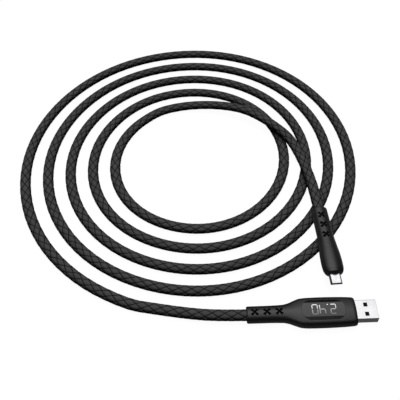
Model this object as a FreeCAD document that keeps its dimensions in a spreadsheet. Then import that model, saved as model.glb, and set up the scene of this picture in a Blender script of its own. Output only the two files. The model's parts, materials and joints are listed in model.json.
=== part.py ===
import FreeCAD, Part
import math
import os
import re

import Sketcher
from FreeCAD import Placement, Rotation, Vector

# Charging cable with a current meter in its USB-A plug.
#
# Row frame, millimetres: the origin is on the resting surface, under the middle of the meter plug.
# +X runs along the meter plug towards the tip of its USB-A shell, and +Z is up.  Each plug is
# modelled along its own axis: its x counts from the rear face of its strain relief, and its z
# counts from its axis.  A placement then takes the whole plug to where it lies.

doc = FreeCAD.newDocument("metered_charging_cable")
sheet = doc.addObject("Spreadsheet::Sheet", "Sizes")

SIZES = (
    ("cord_wide", 7.0, "cord section, lying flat"),
    ("cord_tall", 4.8, "cord section, thickness"),
    ("side_round", 0.375, "radius of a plug's rounded side, as a share of its thickness"),
    ("gap", 0.05, "clearance between a part and its pocket"),
    ("slip", 0.1, "clearance all round a contact or a wire"),

    ("meter_front", 60.6, "rear face to front face"),
    ("meter_tip", 72.4, "rear face to tip of the shell"),
    ("meter_high", 3.9, "axis above the resting surface"),
    ("meter_rear_at", 0.0, ""), ("meter_rear_wide", 9.5, ""), ("meter_rear_tall", 6.4, ""),
    ("meter_cuff_at", 0.9, ""), ("meter_cuff_wide", 10.1, ""), ("meter_cuff_tall", 6.85, ""),
    ("meter_grip_at", 12.0, ""), ("meter_grip_wide", 10.2, ""), ("meter_grip_tall", 6.95, ""),
    ("meter_waist_at", 20.0, ""), ("meter_waist_wide", 10.7, ""), ("meter_waist_tall", 7.1, ""),
    ("meter_throat_at", 23.2, ""), ("meter_throat_wide", 12.2, ""), ("meter_throat_tall", 7.35, ""),
    ("meter_flare_at", 26.8, ""), ("meter_flare_wide", 15.3, ""), ("meter_flare_tall", 7.8, ""),
    ("meter_neck_at", 30.0, ""), ("meter_neck_wide", 17.6, ""), ("meter_neck_tall", 8.2, ""),
    ("meter_chest_at", 34.0, ""), ("meter_chest_wide", 18.4, ""), ("meter_chest_tall", 8.3, ""),
    ("meter_belly_at", 42.0, ""), ("meter_belly_wide", 18.6, ""), ("meter_belly_tall", 8.3, ""),
    ("meter_cheek_at", 52.0, ""), ("meter_cheek_wide", 18.2, ""), ("meter_cheek_tall", 8.15, ""),
    ("meter_nose_at", 59.7, ""), ("meter_nose_wide", 17.0, ""), ("meter_nose_tall", 7.5, ""),
    ("meter_lip_at", 60.6, ""), ("meter_lip_wide", 15.7, ""), ("meter_lip_tall", 6.5, ""),
    ("meter_bore", 28.0, "depth of the cord's jacket in the plug"),
    ("channel_wide", 5.6, "way for the wires, from the jacket's end to the core"),
    ("channel_tall", 4.2, ""),
    ("channel_round", 0.8, ""),
    ("core_rear", 32.0, "core pocket, rear wall"),
    ("core_front", 59.0, "core pocket, front wall"),
    ("core_wide", 13.4, ""),
    ("core_tall", 5.8, ""),
    ("core_round", 1.5, "corner radius of the core"),
    ("core_wall", 0.6, ""),
    ("core_back", 0.9, "thickness of the core's rear wall"),

    ("window_at", 42.35, "middle of the display window"),
    ("window_long", 24.5, ""),
    ("window_wide", 12.4, ""),
    ("window_round", 5.6, "radius of the window's ends"),
    ("window_floor", 2.9, "above the axis"),
    ("lens_top", 3.95, "above the axis"),
    ("lens_flat", 8.6, "width of the lens's flat top"),
    ("lens_slope", 0.85, "drop of the lens's sloped edges"),
    ("module_long", 15.0, "display module"),
    ("module_wide", 8.2, ""),
    ("module_top", 2.72, "above the axis"),
    ("digit_tall", 6.2, ""),
    ("digit_wide", 3.4, ""),
    ("digit_stroke", 0.48, ""),
    ("digit_thick", 0.08, ""),
    ("digit_two_at", 5.35, "from the window's middle, as are the next three"),
    ("digit_four_at", -0.6, ""),
    ("digit_zero_at", -4.8, ""),
    ("digit_point_at", 2.43, ""),
    ("digit_point_wide", 0.6, ""),

    ("board_rear", 33.0, ""),
    ("board_front", 53.4, ""),
    ("board_wide", 11.2, ""),
    ("board_thick", 0.8, ""),
    ("board_top", -0.2, "above the axis"),
    ("board_end_gap", 0.4, "free space in front of the board"),
    ("chip_at", 41.0, "rear edge of the meter's chip"),
    ("chip_long", 5.0, ""),
    ("chip_wide", 4.0, ""),
    ("chip_tall", 1.1, ""),
    ("shunt_at", 48.0, ""),
    ("shunt_long", 3.2, ""),
    ("shunt_wide", 6.3, ""),
    ("shunt_tall", 0.6, ""),
    ("capacitor_at", 38.0, ""),
    ("capacitor_long", 1.6, ""),
    ("capacitor_wide", 0.8, ""),
    ("capacitor_pitch", 2.4, ""),
    ("diode_at", 36.0, ""),
    ("diode_long", 1.4, ""),
    ("diode_wide", 2.8, ""),
    ("diode_tall", 0.9, ""),
    ("diode_side", -3.8, ""),

    ("shell_wide", 12.0, "USB-A shell"),
    ("shell_tall", 4.5, ""),
    ("shell_long", 18.6, ""),
    ("shell_wall", 0.3, ""),
    ("shell_round", 0.4, ""),
    ("shell_hole_long", 2.2, "latch window"),
    ("shell_hole_wide", 2.5, ""),
    ("shell_hole_at", 6.1, "from the tip"),
    ("shell_hole_pitch", 5.8, ""),
    ("tongue_set_back", 0.9, "tip of the tongue behind the tip of the shell"),
    ("tongue_slack", 0.2, "how much narrower than the shell's inside"),
    ("contact_pitch", 2.25, "USB-A contacts"),
    ("contact_set_back", 0.8, "behind the tip of the tongue"),
    ("contact_tail", 2.0, "length soldered to the board"),
    ("contact_wide", 1.0, ""),
    ("contact_thick", 0.15, ""),

    ("clamp_wall", 0.6, "crimp band on the cord's jacket"),
    ("clamp_long", 3.0, ""),
    ("clamp_round", 2.2, "corner radius of its seat"),
    ("meter_clamp_at", 22.0, ""),
    ("micro_clamp_at", 23.4, ""),
    ("wire_round", 0.5, "wire radius"),
    ("wire_pitch", 1.2, ""),
    ("wire_drop", 1.5, "wires below the axis"),
    ("wire_tail", 3.0, "length of a wire beside the board"),

    ("mark_arm", 2.55, "half length of one stroke of a strain relief's crossed slots"),
    ("mark_stroke", 1.1, ""),
    ("mark_deep", 0.6, ""),
    ("meter_mark_first", 4.35, ""),
    ("meter_mark_pitch", 6.78, ""),
    ("micro_mark_first", 6.3, ""),
    ("micro_mark_pitch", 7.3, ""),

    ("micro_front", 47.0, "rear face to front face"),
    ("micro_tip", 53.5, "rear face to tip of the shell"),
    ("micro_rear_at", 0.0, ""), ("micro_rear_wide", 8.9, ""), ("micro_rear_tall", 6.0, ""),
    ("micro_cuff_at", 0.9, ""), ("micro_cuff_wide", 9.6, ""), ("micro_cuff_tall", 6.5, ""),
    ("micro_grip_at", 11.0, ""), ("micro_grip_wide", 9.95, ""), ("micro_grip_tall", 6.65, ""),
    ("micro_waist_at", 21.0, ""), ("micro_waist_wide", 10.05, ""), ("micro_waist_tall", 6.8, ""),
    ("micro_flare_at", 29.0, ""), ("micro_flare_wide", 11.2, ""), ("micro_flare_tall", 7.2, ""),
    ("micro_chest_at", 34.0, ""), ("micro_chest_wide", 12.1, ""), ("micro_chest_tall", 7.5, ""),
    ("micro_belly_at", 39.0, ""), ("micro_belly_wide", 12.35, ""), ("micro_belly_tall", 7.6, ""),
    ("micro_cheek_at", 43.6, ""), ("micro_cheek_wide", 11.8, ""), ("micro_cheek_tall", 7.3, ""),
    ("micro_nose_at", 46.3, ""), ("micro_nose_wide", 10.8, ""), ("micro_nose_tall", 6.6, ""),
    ("micro_lip_at", 47.0, ""), ("micro_lip_wide", 9.7, ""), ("micro_lip_tall", 5.8, ""),
    ("micro_bore", 27.0, "depth of the cord's jacket in the plug"),
    ("micro_channel_wide", 5.2, ""),
    ("micro_channel_tall", 3.9, ""),
    ("micro_core_rear", 30.0, ""),
    ("micro_core_front", 45.8, ""),
    ("micro_core_wide", 8.2, ""),
    ("micro_core_tall", 4.6, ""),
    ("micro_core_round", 1.0, ""),
    ("micro_room_tall", 3.2, "room for the wires in the core"),
    ("micro_room_round", 0.5, ""),
    ("micro_wire_drop", 0.6, "wires below the axis"),
    ("micro_wire_gap", 0.6, "end of a wire behind the shell"),
    ("micro_shell_rear", 41.6, ""),
    ("micro_shell_wide", 6.85, "wide side, underneath"),
    ("micro_shell_narrow", 5.2, "narrow side, on top"),
    ("micro_shell_tall", 1.8, ""),
    ("micro_shell_step", 0.75, "height of the upright sides"),
    ("micro_shell_wall", 0.25, ""),
    ("micro_tongue_wide", 4.4, ""),
    ("micro_tongue_low", 0.1, "above the axis"),
    ("micro_tongue_set_back", 0.7, "behind the tip of the shell"),
    ("micro_heel_wide", 5.6, ""),
    ("micro_contact_pitch", 0.65, ""),
    ("micro_contact_set_back", 0.9, "behind the tip of the shell"),
    ("micro_contact_tail", 2.6, "length behind the shell"),
    ("micro_contact_wide", 0.35, ""),
    ("micro_contact_thick", 0.12, ""),
    ("latch_pivot_at", 43.2, ""),
    ("latch_hook_at", 51.2, ""),
    ("latch_out", 2.45, "middle of a latch arm from the axis"),
    ("latch_wide", 0.5, ""),
    ("latch_thick", 0.2, ""),
    ("latch_hook_long", 0.9, ""),
    ("latch_hook_tall", 0.35, "how far a hook stands out of the shell"),
    ("latch_slot_gap", 0.2, ""),
    ("latch_clear", 0.04, "between an arm and the shell's floor"),

    ("coil_x", -58.9, "middle of the laid-out coil"),
    ("coil_y", 118.8, ""),
    ("coil_radius", 116.8, "cord's middle line at the bottom of the outermost turn"),
    ("coil_pitch", 14.57, "from turn to turn"),
    ("coil_lift", 0.13, "how much more than the pitch the turns close in at the bottom"),
    ("coil_dent", 4.8, "how far the turns are pressed in on the right"),
    ("coil_dent_at", -14.2, "degrees"),
    ("coil_dent_reach", 97.0, "degrees"),
    ("coil_swell", 0.7, "how far the turns bulge out at the bottom left"),
    ("coil_swell_at", -137.0, "degrees"),
    ("coil_swell_reach", 42.0, "degrees"),
    ("coil_tuck", 0.6, "how far the turns are pressed in at the top left"),
    ("coil_tuck_at", 152.0, "degrees"),
    ("coil_tuck_reach", 45.0, "degrees"),
    ("coil_first", -112.0, "degrees, where the lead joins the coil"),
    ("coil_last", -1672.0, "degrees, where the crossing leaves it"),
    ("micro_x", 13.85, "rear face of the micro plug"),
    ("micro_y", 69.0, ""),
    ("micro_high", 8.3, "axis above the resting surface"),
    ("micro_turn", -87.7, "degrees from +X"),
)

METER_STATIONS = ("rear", "cuff", "grip", "waist", "throat", "flare", "neck", "chest", "belly",
                  "cheek", "nose", "lip")
MICRO_STATIONS = ("rear", "cuff", "grip", "waist", "flare", "chest", "belly", "cheek", "nose",
                  "lip")

for line, (alias, number, note) in enumerate(SIZES, start=1):
    sheet.set("A%d" % line, alias)
    sheet.set("B%d" % line, str(number))
    sheet.setAlias("B%d" % line, alias)
    sheet.set("C%d" % line, note)
doc.recompute()

ALIASES = {alias for alias, number, note in SIZES}
WORD = re.compile(r"[a-z_]+[a-z_0-9]*")
nodes = []


def size(alias):
    return float(sheet.get(alias))


def bind(target, name, formula):
    """Bind a property to a formula of the sheet's aliases."""
    full = WORD.sub(lambda word: "Sizes." + word[0] if word[0] in ALIASES else word[0], formula)
    target.setExpression(name, full)


# ---- placing ----------------------------------------------------------------------------------

def on_meter(part):
    """Put a finished sub-part where the meter plug lies."""
    bind(part, "Placement.Base.x", "-meter_tip / 2")
    bind(part, "Placement.Base.z", "meter_high")
    nodes.append(part)


def on_micro(part):
    """Put a finished sub-part where the micro plug lies."""
    part.Placement = Placement(Vector(0, 0, 0), Rotation(Vector(0, 0, 1), size("micro_turn")))
    bind(part, "Placement.Base.x", "micro_x")
    bind(part, "Placement.Base.y", "micro_y")
    bind(part, "Placement.Base.z", "micro_high")
    bind(part, "Placement.Rotation.Angle", "micro_turn")
    nodes.append(part)


# ---- primitives -------------------------------------------------------------------------------

def box(name, low_x, high_x, wide, low_z, high_z, middle_y="0"):
    """A box between two x and two z, centred on middle_y; every argument is a formula."""
    block = doc.addObject("Part::Box", name)
    bind(block, "Length", "(%s) - (%s)" % (high_x, low_x))
    bind(block, "Width", wide)
    bind(block, "Height", "(%s) - (%s)" % (high_z, low_z))
    bind(block, "Placement.Base.x", low_x)
    bind(block, "Placement.Base.y", "(%s) - (%s) / 2" % (middle_y, wide))
    bind(block, "Placement.Base.z", low_z)
    return block


def rod(name, radius, low_x, high_x, middle_y, middle_z):
    """A round rod along x."""
    bar = doc.addObject("Part::Cylinder", name)
    bar.Placement = Placement(Vector(0, 0, 0), Rotation(Vector(0, 1, 0), 90))
    bind(bar, "Radius", radius)
    bind(bar, "Height", "(%s) - (%s)" % (high_x, low_x))
    bind(bar, "Placement.Base.x", low_x)
    bind(bar, "Placement.Base.y", middle_y)
    bind(bar, "Placement.Base.z", middle_z)
    return bar


def oval_rod(name, low_x, high_x, wide, tall):
    """An elliptical rod along x, on the axis."""
    outline = doc.addObject("Part::Ellipse", name + "_outline")
    bind(outline, "MajorRadius", "(%s) / 2" % wide)
    bind(outline, "MinorRadius", "(%s) / 2" % tall)
    outline.Placement = Placement(Vector(0, 0, 0), Rotation(Vector(1, 1, 1), 120))
    bind(outline, "Placement.Base.x", low_x)
    bar = doc.addObject("Part::Extrusion", name)
    bar.Base = outline
    bar.DirMode = "Custom"
    bar.Dir = Vector(1, 0, 0)
    bar.Solid = True
    bind(bar, "LengthFwd", "(%s) - (%s)" % (high_x, low_x))
    return bar


def cut(name, base, *tools):
    """The base without the tools."""
    tool = tools[0]
    if len(tools) > 1:
        tool = doc.addObject("Part::MultiFuse", name + "_tools")
        tool.Shapes = list(tools)
    result = doc.addObject("Part::Cut", name)
    result.Label = name
    result.Base = base
    result.Tool = tool
    return result


def group(name, *pieces):
    """One node of separate solids."""
    result = doc.addObject("Part::Compound", name)
    result.Label = name
    result.Links = list(pieces)
    return result


# ---- bodies -----------------------------------------------------------------------------------

def new_body(name):
    body = doc.addObject("PartDesign::Body", name)
    body.Label = name
    return body


def new_sketch(body, name, role, height):
    """A sketch parallel to one of the body's own planes, offset by a formula."""
    sketch = body.newObject("Sketcher::SketchObject", name)
    plane = next(item for item in body.Origin.OriginFeatures if item.Role == role)
    sketch.AttachmentSupport = [(plane, "")]
    sketch.MapMode = "FlatFace"
    bind(sketch, "AttachmentOffset.Base.z", height)
    return sketch


def constrain(sketch, name, formula, *rule):
    """Add a named dimension and bind it to a formula."""
    index = sketch.addConstraint(Sketcher.Constraint(*rule))
    sketch.renameConstraint(index, name)
    bind(sketch, "Constraints." + name, formula)


def oval_section(body, plug, station):
    """A plug's section: two rounded sides joined by two crowned faces, all tangent."""
    prefix = "%s_%s" % (plug, station)
    wide = size(prefix + "_wide")
    tall = size(prefix + "_tall")
    side = size("side_round") * tall
    out = wide / 2 - side
    crown = (out ** 2 + tall ** 2 / 4 - side ** 2) / (tall - 2 * side)
    drop = crown - tall / 2
    lean = math.atan2(drop, out)
    normal = Vector(0, 0, 1)
    sketch = new_sketch(body, prefix, "YZ_Plane", prefix + "_at")
    arcs = (
        (Vector(out, 0, 0), side, -lean, lean),
        (Vector(0, -drop, 0), crown, lean, math.pi - lean),
        (Vector(-out, 0, 0), side, math.pi - lean, math.pi + lean),
        (Vector(0, drop, 0), crown, math.pi + lean, 2 * math.pi - lean),
    )
    for centre, radius, start, end in arcs:
        sketch.addGeometry(Part.ArcOfCircle(Part.Circle(centre, normal, radius), start, end), False)
    for index in range(4):
        sketch.addConstraint(Sketcher.Constraint("Tangent", index, 2, (index + 1) % 4, 1))
    sketch.addConstraint(Sketcher.Constraint("PointOnObject", 0, 3, -1))
    for index in (1, 3):
        sketch.addConstraint(Sketcher.Constraint("PointOnObject", index, 3, -2))
    sketch.addConstraint(Sketcher.Constraint("Equal", 1, 3))
    out_formula = "(%s_wide / 2 - side_round * %s_tall)" % (prefix, prefix)
    constrain(sketch, "out_right", out_formula, "DistanceX", -1, 1, 0, 3, out)
    constrain(sketch, "out_left", out_formula, "DistanceX", 2, 3, -1, 1, out)
    constrain(sketch, "side", "side_round * %s_tall" % prefix, "Radius", 0, side)
    crown_formula = ("(%s ^ 2 + %s_tall ^ 2 / 4 - (side_round * %s_tall) ^ 2)"
                     " / (%s_tall * (1 - 2 * side_round))") % ((out_formula,) + (prefix,) * 3)
    constrain(sketch, "crown", crown_formula, "Radius", 1, crown)
    return sketch


def rounded_box_sketch(body, name, role, height, wide, tall, radius, middle="0"):
    """A rounded rectangle centred on the sketch's y axis, at a given x; arguments are formulas."""
    sketch = new_sketch(body, name, role, height)
    sketch.addGeometry([
        Part.LineSegment(Vector(-1, 2, 0), Vector(1, 2, 0)),
        Part.ArcOfCircle(Part.Circle(Vector(1, 1, 0), Vector(0, 0, 1), 1), 0, math.pi / 2),
        Part.LineSegment(Vector(2, 1, 0), Vector(2, -1, 0)),
        Part.ArcOfCircle(Part.Circle(Vector(1, -1, 0), Vector(0, 0, 1), 1), -math.pi / 2, 0),
        Part.LineSegment(Vector(1, -2, 0), Vector(-1, -2, 0)),
        Part.ArcOfCircle(Part.Circle(Vector(-1, -1, 0), Vector(0, 0, 1), 1), math.pi, 1.5 * math.pi),
        Part.LineSegment(Vector(-2, -1, 0), Vector(-2, 1, 0)),
        Part.ArcOfCircle(Part.Circle(Vector(-1, 1, 0), Vector(0, 0, 1), 1), math.pi / 2, math.pi),
    ], False)
    joints = ((0, 2, 1, 2), (1, 1, 2, 1), (2, 2, 3, 2), (3, 1, 4, 1),
              (4, 2, 5, 2), (5, 1, 6, 1), (6, 2, 7, 2), (7, 1, 0, 1))
    for joint in joints:
        sketch.addConstraint(Sketcher.Constraint("Tangent", *joint))
    for index in (0, 4):
        sketch.addConstraint(Sketcher.Constraint("Horizontal", index))
    for index in (2, 6):
        sketch.addConstraint(Sketcher.Constraint("Vertical", index))
    for index in (3, 5, 7):
        sketch.addConstraint(Sketcher.Constraint("Equal", 1, index))
    constrain(sketch, "radius", radius, "Radius", 1, 1.0)
    constrain(sketch, "right", "(%s) + (%s) / 2 - (%s)" % (middle, wide, radius),
              "DistanceX", -1, 1, 1, 3, 1.0)
    constrain(sketch, "wide", "(%s) - 2 * (%s)" % (wide, radius), "DistanceX", 7, 3, 1, 3, 2.0)
    constrain(sketch, "above", "(%s) / 2 - (%s)" % (tall, radius), "DistanceY", -1, 1, 1, 3, 1.0)
    constrain(sketch, "tall", "(%s) - 2 * (%s)" % (tall, radius), "DistanceY", 3, 3, 1, 3, 2.0)
    return sketch


def add_feature(body, kind, name, sketch, length, backward=False):
    """A pad or a pocket, with a length given as a formula; returns the change in volume."""
    doc.recompute()
    before = body.Shape.Volume if body.Tip else 0.0
    feature = body.newObject("PartDesign::" + kind, name)
    feature.Profile = sketch
    bind(feature, "Length", length)
    feature.Reversed = backward
    doc.recompute()
    change = abs(body.Shape.Volume - before)
    if change < 1e-3:
        raise RuntimeError(name + " changes nothing")
    return feature


def add_loft(body, name, sketches):
    loft = body.newObject("PartDesign::AdditiveLoft", name)
    loft.Profile = sketches[0]
    loft.Sections = sketches[1:]
    loft.Ruled = True
    return loft


def cross_sketch(body, plug, name, height):
    """The three crossed slots of a strain relief, seen from above."""
    sketch = new_sketch(body, name, "XY_Plane", height)
    half = size("mark_stroke") / 2
    arm = size("mark_arm")
    for count in range(3):
        centre = Vector(size(plug + "_mark_first") + count * size(plug + "_mark_pitch"), 0, 0)
        points = []
        for quarter in range(4):
            turn = Rotation(Vector(0, 0, 1), 45 + 90 * quarter)
            points.append(centre + turn.multVec(Vector(arm, -half, 0)))
            points.append(centre + turn.multVec(Vector(arm, half, 0)))
            points.append(centre + turn.multVec(Vector(half, half, 0)))
        first = sketch.GeometryCount
        for index, point in enumerate(points):
            sketch.addGeometry(Part.LineSegment(point, points[(index + 1) % len(points)]), False)
        for index in range(len(points)):
            following = first + (index + 1) % len(points)
            sketch.addConstraint(Sketcher.Constraint("Coincident", first + index, 2, following, 1))
        for index in range(len(points)):
            sketch.addConstraint(Sketcher.Constraint("Block", first + index))
    return sketch


def overmould(plug, stations, name):
    """A plug's soft outer body, with the cord's bore and the crossed slots on both faces."""
    body = new_body(name)
    sections = [oval_section(body, plug, station) for station in stations]
    add_loft(body, plug + "_skin", sections)
    outline = new_sketch(body, plug + "_bore", "YZ_Plane", "0")
    ellipse = Part.Ellipse(Vector(0, 0, 0), size("cord_wide") / 2, size("cord_tall") / 2)
    outline.addGeometry(ellipse, False)
    outline.addConstraint(Sketcher.Constraint("Block", 0))
    add_feature(body, "Pocket", plug + "_bore_cut", outline, plug + "_bore", True)
    seat = rounded_box_sketch(body, plug + "_clamp_seat", "YZ_Plane", plug + "_clamp_at",
                              "cord_wide + 2 * clamp_wall + 2 * gap",
                              "cord_tall + 2 * clamp_wall + 2 * gap", "clamp_round")
    add_feature(body, "Pocket", plug + "_clamp_cut", seat, "clamp_long", True)
    top = "%s_grip_tall / 2" % plug
    above = cross_sketch(body, plug, plug + "_marks_above", top + " + 1")
    add_feature(body, "Pocket", plug + "_marks_above_cut", above, "1 + mark_deep")
    below = cross_sketch(body, plug, plug + "_marks_below", "-%s - 1" % top)
    add_feature(body, "Pocket", plug + "_marks_below_cut", below, "1 + mark_deep", True)
    return body


# ---- meter plug -------------------------------------------------------------------------------

def meter_overmould():
    body = overmould("meter", METER_STATIONS, "meter_overmould")
    channel = rounded_box_sketch(body, "wire_channel", "YZ_Plane", "meter_bore",
                                 "channel_wide", "channel_tall", "channel_round")
    add_feature(body, "Pocket", "wire_channel_cut", channel, "core_rear - meter_bore + 1", True)
    seat = rounded_box_sketch(body, "core_seat", "YZ_Plane", "core_rear",
                              "core_wide", "core_tall", "core_round")
    add_feature(body, "Pocket", "core_seat_cut", seat, "core_front - core_rear", True)
    mouth = rounded_box_sketch(body, "shell_mouth", "YZ_Plane", "core_front - 1",
                               "shell_wide + 2 * gap", "shell_tall + 2 * gap", "shell_round + gap")
    add_feature(body, "Pocket", "shell_mouth_cut", mouth, "meter_front - core_front + 2", True)
    window = rounded_box_sketch(body, "window", "XY_Plane", "window_floor",
                                "window_long", "window_wide", "window_round", "window_at")
    add_feature(body, "Pocket", "window_cut", window, "meter_belly_tall", True)
    foot = rounded_box_sketch(body, "foot", "XY_Plane", "-meter_high",
                              "meter_tip", "2 * meter_belly_wide", "1", "meter_tip / 2")
    add_feature(body, "Pocket", "foot_cut", foot, "meter_high")
    on_meter(body)


def core_half(name, upper):
    """One half of the hard inner case; the two halves meet on the plug's axis."""
    whole = new_body(name + "_whole")
    outline = rounded_box_sketch(whole, name + "_outline", "YZ_Plane", "core_rear + gap",
                                 "core_wide - 2 * gap", "core_tall - 2 * gap", "core_round - gap")
    add_feature(whole, "Pad", name + "_pad", outline, "core_front - core_rear - 2 * gap")
    low, high = ("-core_tall", "0") if upper else ("0", "core_tall")
    other_half = box(name + "_other_half", "0", "meter_tip", "2 * core_wide", low, high)
    room = box(name + "_room", "core_rear + core_back", "board_front + board_end_gap",
               "core_wide - 2 * core_wall", "-core_tall / 2 + core_wall", "core_tall / 2 - core_wall")
    gate = box(name + "_gate", "core_rear - 1", "core_rear + 2 * core_back", "channel_wide",
               "-channel_tall / 2", "channel_tall / 2")
    socket = box(name + "_socket", "board_front", "meter_tip", "shell_wide + 2 * gap",
                 "-shell_tall / 2 - gap", "shell_tall / 2 + gap")
    tools = [other_half, room, gate, socket]
    if upper:
        tools.append(box(name + "_view", "window_at - module_long / 2 - slip",
                         "window_at + module_long / 2 + slip", "module_wide + 2 * slip",
                         "0", "core_tall"))
    on_meter(cut(name, whole, *tools))


def display_lens():
    body = new_body("display_lens")
    outline = rounded_box_sketch(body, "lens_outline", "XY_Plane", "window_floor + gap / 2",
                                 "window_long - 2 * gap", "window_wide - 2 * gap",
                                 "window_round - gap", "window_at")
    add_feature(body, "Pad", "lens_pad", outline, "lens_top - window_floor - gap / 2")
    for side, name in ((1, "lens_slope_far"), (-1, "lens_slope_near")):
        wedge = new_sketch(body, name, "YZ_Plane", "0")
        inner = size("lens_flat") / 2
        outer = size("window_wide") / 2
        top = size("lens_top")
        low = top - size("lens_slope")
        corners = (Vector(side * inner, top, 0), Vector(side * outer, low, 0),
                   Vector(side * (outer + 1), low, 0), Vector(side * (outer + 1), top + 1, 0),
                   Vector(side * inner, top + 1, 0))
        for index, corner in enumerate(corners):
            following = corners[(index + 1) % len(corners)]
            wedge.addGeometry(Part.LineSegment(corner, following), False)
            wedge.addConstraint(Sketcher.Constraint("Block", index))
        add_feature(body, "Pocket", name + "_cut", wedge, "meter_tip", True)
    on_meter(body)


def seven_segment(name, middle, lit):
    """One digit read from the +Y side: its right is -X and its top is -Y."""
    across = "(digit_wide - digit_stroke)"
    half = "(digit_tall - digit_stroke) / 2"
    bars = {
        "a": ("0", "-" + half, True), "g": ("0", "0", True), "d": ("0", half, True),
        "b": ("-%s / 2" % across, "-%s / 2" % half, False),
        "c": ("-%s / 2" % across, "%s / 2" % half, False),
        "f": ("%s / 2" % across, "-%s / 2" % half, False),
        "e": ("%s / 2" % across, "%s / 2" % half, False),
    }
    pieces = []
    for letter in lit:
        shift, middle_y, level = bars[letter]
        long_x = "(digit_wide - 2.3 * digit_stroke)" if level else "digit_stroke"
        long_y = "digit_stroke" if level else "(%s - 0.3 * digit_stroke)" % half
        low = "%s + %s - %s / 2" % (middle, shift, long_x)
        pieces.append(box("%s_%s" % (name, letter), low, "%s + %s" % (low, long_x), long_y,
                          "module_top", "module_top + digit_thick", middle_y))
    return pieces


def display():
    on_meter(group("display_module", box(
        "module_block", "window_at - module_long / 2", "window_at + module_long / 2",
        "module_wide", "board_top", "module_top")))
    dot = box("digit_point", "window_at + digit_point_at - digit_point_wide / 2",
              "window_at + digit_point_at + digit_point_wide / 2", "digit_point_wide",
              "module_top", "module_top + digit_thick", "(digit_tall - digit_point_wide) / 2")
    digits = seven_segment("two", "window_at + digit_two_at", "abged")
    digits += seven_segment("four", "window_at + digit_four_at", "fgbc")
    digits += seven_segment("zero", "window_at + digit_zero_at", "abcdef")
    on_meter(group("display_segments", dot, *digits))


def meter_electronics():
    low = "board_top - board_thick"
    on_meter(group("meter_board", box("board_plate", "board_rear", "board_front", "board_wide",
                                      low, "board_top")))
    on_meter(group("meter_chip", box("chip_case", "chip_at", "chip_at + chip_long", "chip_wide",
                                     low + " - chip_tall", low)))
    on_meter(group("shunt_resistor", box("shunt_case", "shunt_at", "shunt_at + shunt_long",
                                         "shunt_wide", low + " - shunt_tall", low)))
    capacitors = [box("capacitor_%d" % count, "capacitor_at", "capacitor_at + capacitor_long",
                      "capacitor_wide", low + " - capacitor_wide", low,
                      "%s * capacitor_pitch" % (count - 1.5)) for count in range(4)]
    on_meter(group("board_capacitors", *capacitors))
    diode = box("diode_case", "diode_at", "diode_at + diode_long", "diode_wide",
                low + " - diode_tall", low, "diode_side")
    on_meter(group("power_diode", diode))


def usb_a_connector():
    body = new_body("usb_a_shell")
    tube = rounded_box_sketch(body, "shell_outline", "YZ_Plane", "meter_tip - shell_long",
                              "shell_wide", "shell_tall", "shell_round")
    add_feature(body, "Pad", "shell_pad", tube, "shell_long")
    hollow = rounded_box_sketch(body, "shell_hollow", "YZ_Plane", "meter_tip - shell_long",
                                "shell_wide - 2 * shell_wall", "shell_tall - 2 * shell_wall",
                                "shell_round - shell_wall")
    add_feature(body, "Pocket", "shell_hollow_cut", hollow, "shell_long", True)
    for side, name in ((-1, "shell_hole_near"), (1, "shell_hole_far")):
        sketch = new_sketch(body, name, "XY_Plane", "-shell_tall")
        middle = Vector(size("meter_tip") - size("shell_hole_at"),
                        side * size("shell_hole_pitch") / 2, 0)
        half_x = size("shell_hole_long") / 2
        half_y = size("shell_hole_wide") / 2
        corners = [middle + Vector(x * half_x, y * half_y, 0)
                   for x, y in ((-1, -1), (1, -1), (1, 1), (-1, 1))]
        for index, corner in enumerate(corners):
            sketch.addGeometry(Part.LineSegment(corner, corners[(index + 1) % 4]), False)
            sketch.addConstraint(Sketcher.Constraint("Block", index))
        add_feature(body, "Pocket", name + "_cut", sketch, "2 * shell_tall", True)
    on_meter(body)

    # The tongue lies against the shell's upper wall, with the contacts under it.
    rear = "meter_tip - shell_long + gap"
    inside = "shell_wide - 2 * shell_wall - 2 * gap - tongue_slack"
    on_meter(group("usb_a_tongue", box(
        "tongue_slab", rear, "meter_tip - tongue_set_back", inside,
        "board_top + contact_thick", "shell_tall / 2 - shell_wall - gap")))
    on_meter(group("usb_a_stuffer", box(
        "stuffer_block", rear, "meter_front", inside,
        "-shell_tall / 2 + shell_wall + gap", "board_top - gap")))
    contacts = [box("contact_%d" % count, "board_front - contact_tail",
                    "meter_tip - tongue_set_back - contact_set_back", "contact_wide",
                    "board_top", "board_top + contact_thick",
                    "%s * contact_pitch" % (count - 1.5)) for count in range(4)]
    on_meter(group("usb_a_contacts", *contacts))


def meter_cord_end():
    on_meter(group("jacket_end_meter", oval_rod("jacket_a", "0", "meter_bore",
                                                "cord_wide", "cord_tall")))
    crimp("cord_clamp_meter", "meter_clamp_at", on_meter)
    for count, colour in enumerate(("red", "white", "green", "black")):
        bar = rod("lead_a_" + colour, "wire_round", "meter_bore", "board_rear + wire_tail",
                  "%s * wire_pitch" % (count - 1.5), "-wire_drop")
        on_meter(group("wire_%s_meter" % colour, bar))


def crimp(name, start, place):
    """A steel band pressed round the cord's jacket inside the plug."""
    band = oval_rod(name + "_band", start + " + gap", start + " + clamp_long - gap",
                    "cord_wide + 2 * clamp_wall", "cord_tall + 2 * clamp_wall")
    hole = oval_rod(name + "_hole", start, start + " + clamp_long", "cord_wide", "cord_tall")
    place(cut(name, band, hole))


# ---- micro plug -------------------------------------------------------------------------------

BEVEL_SHARE = 0.6           # share of an inset by which the bevels' corners move


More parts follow.
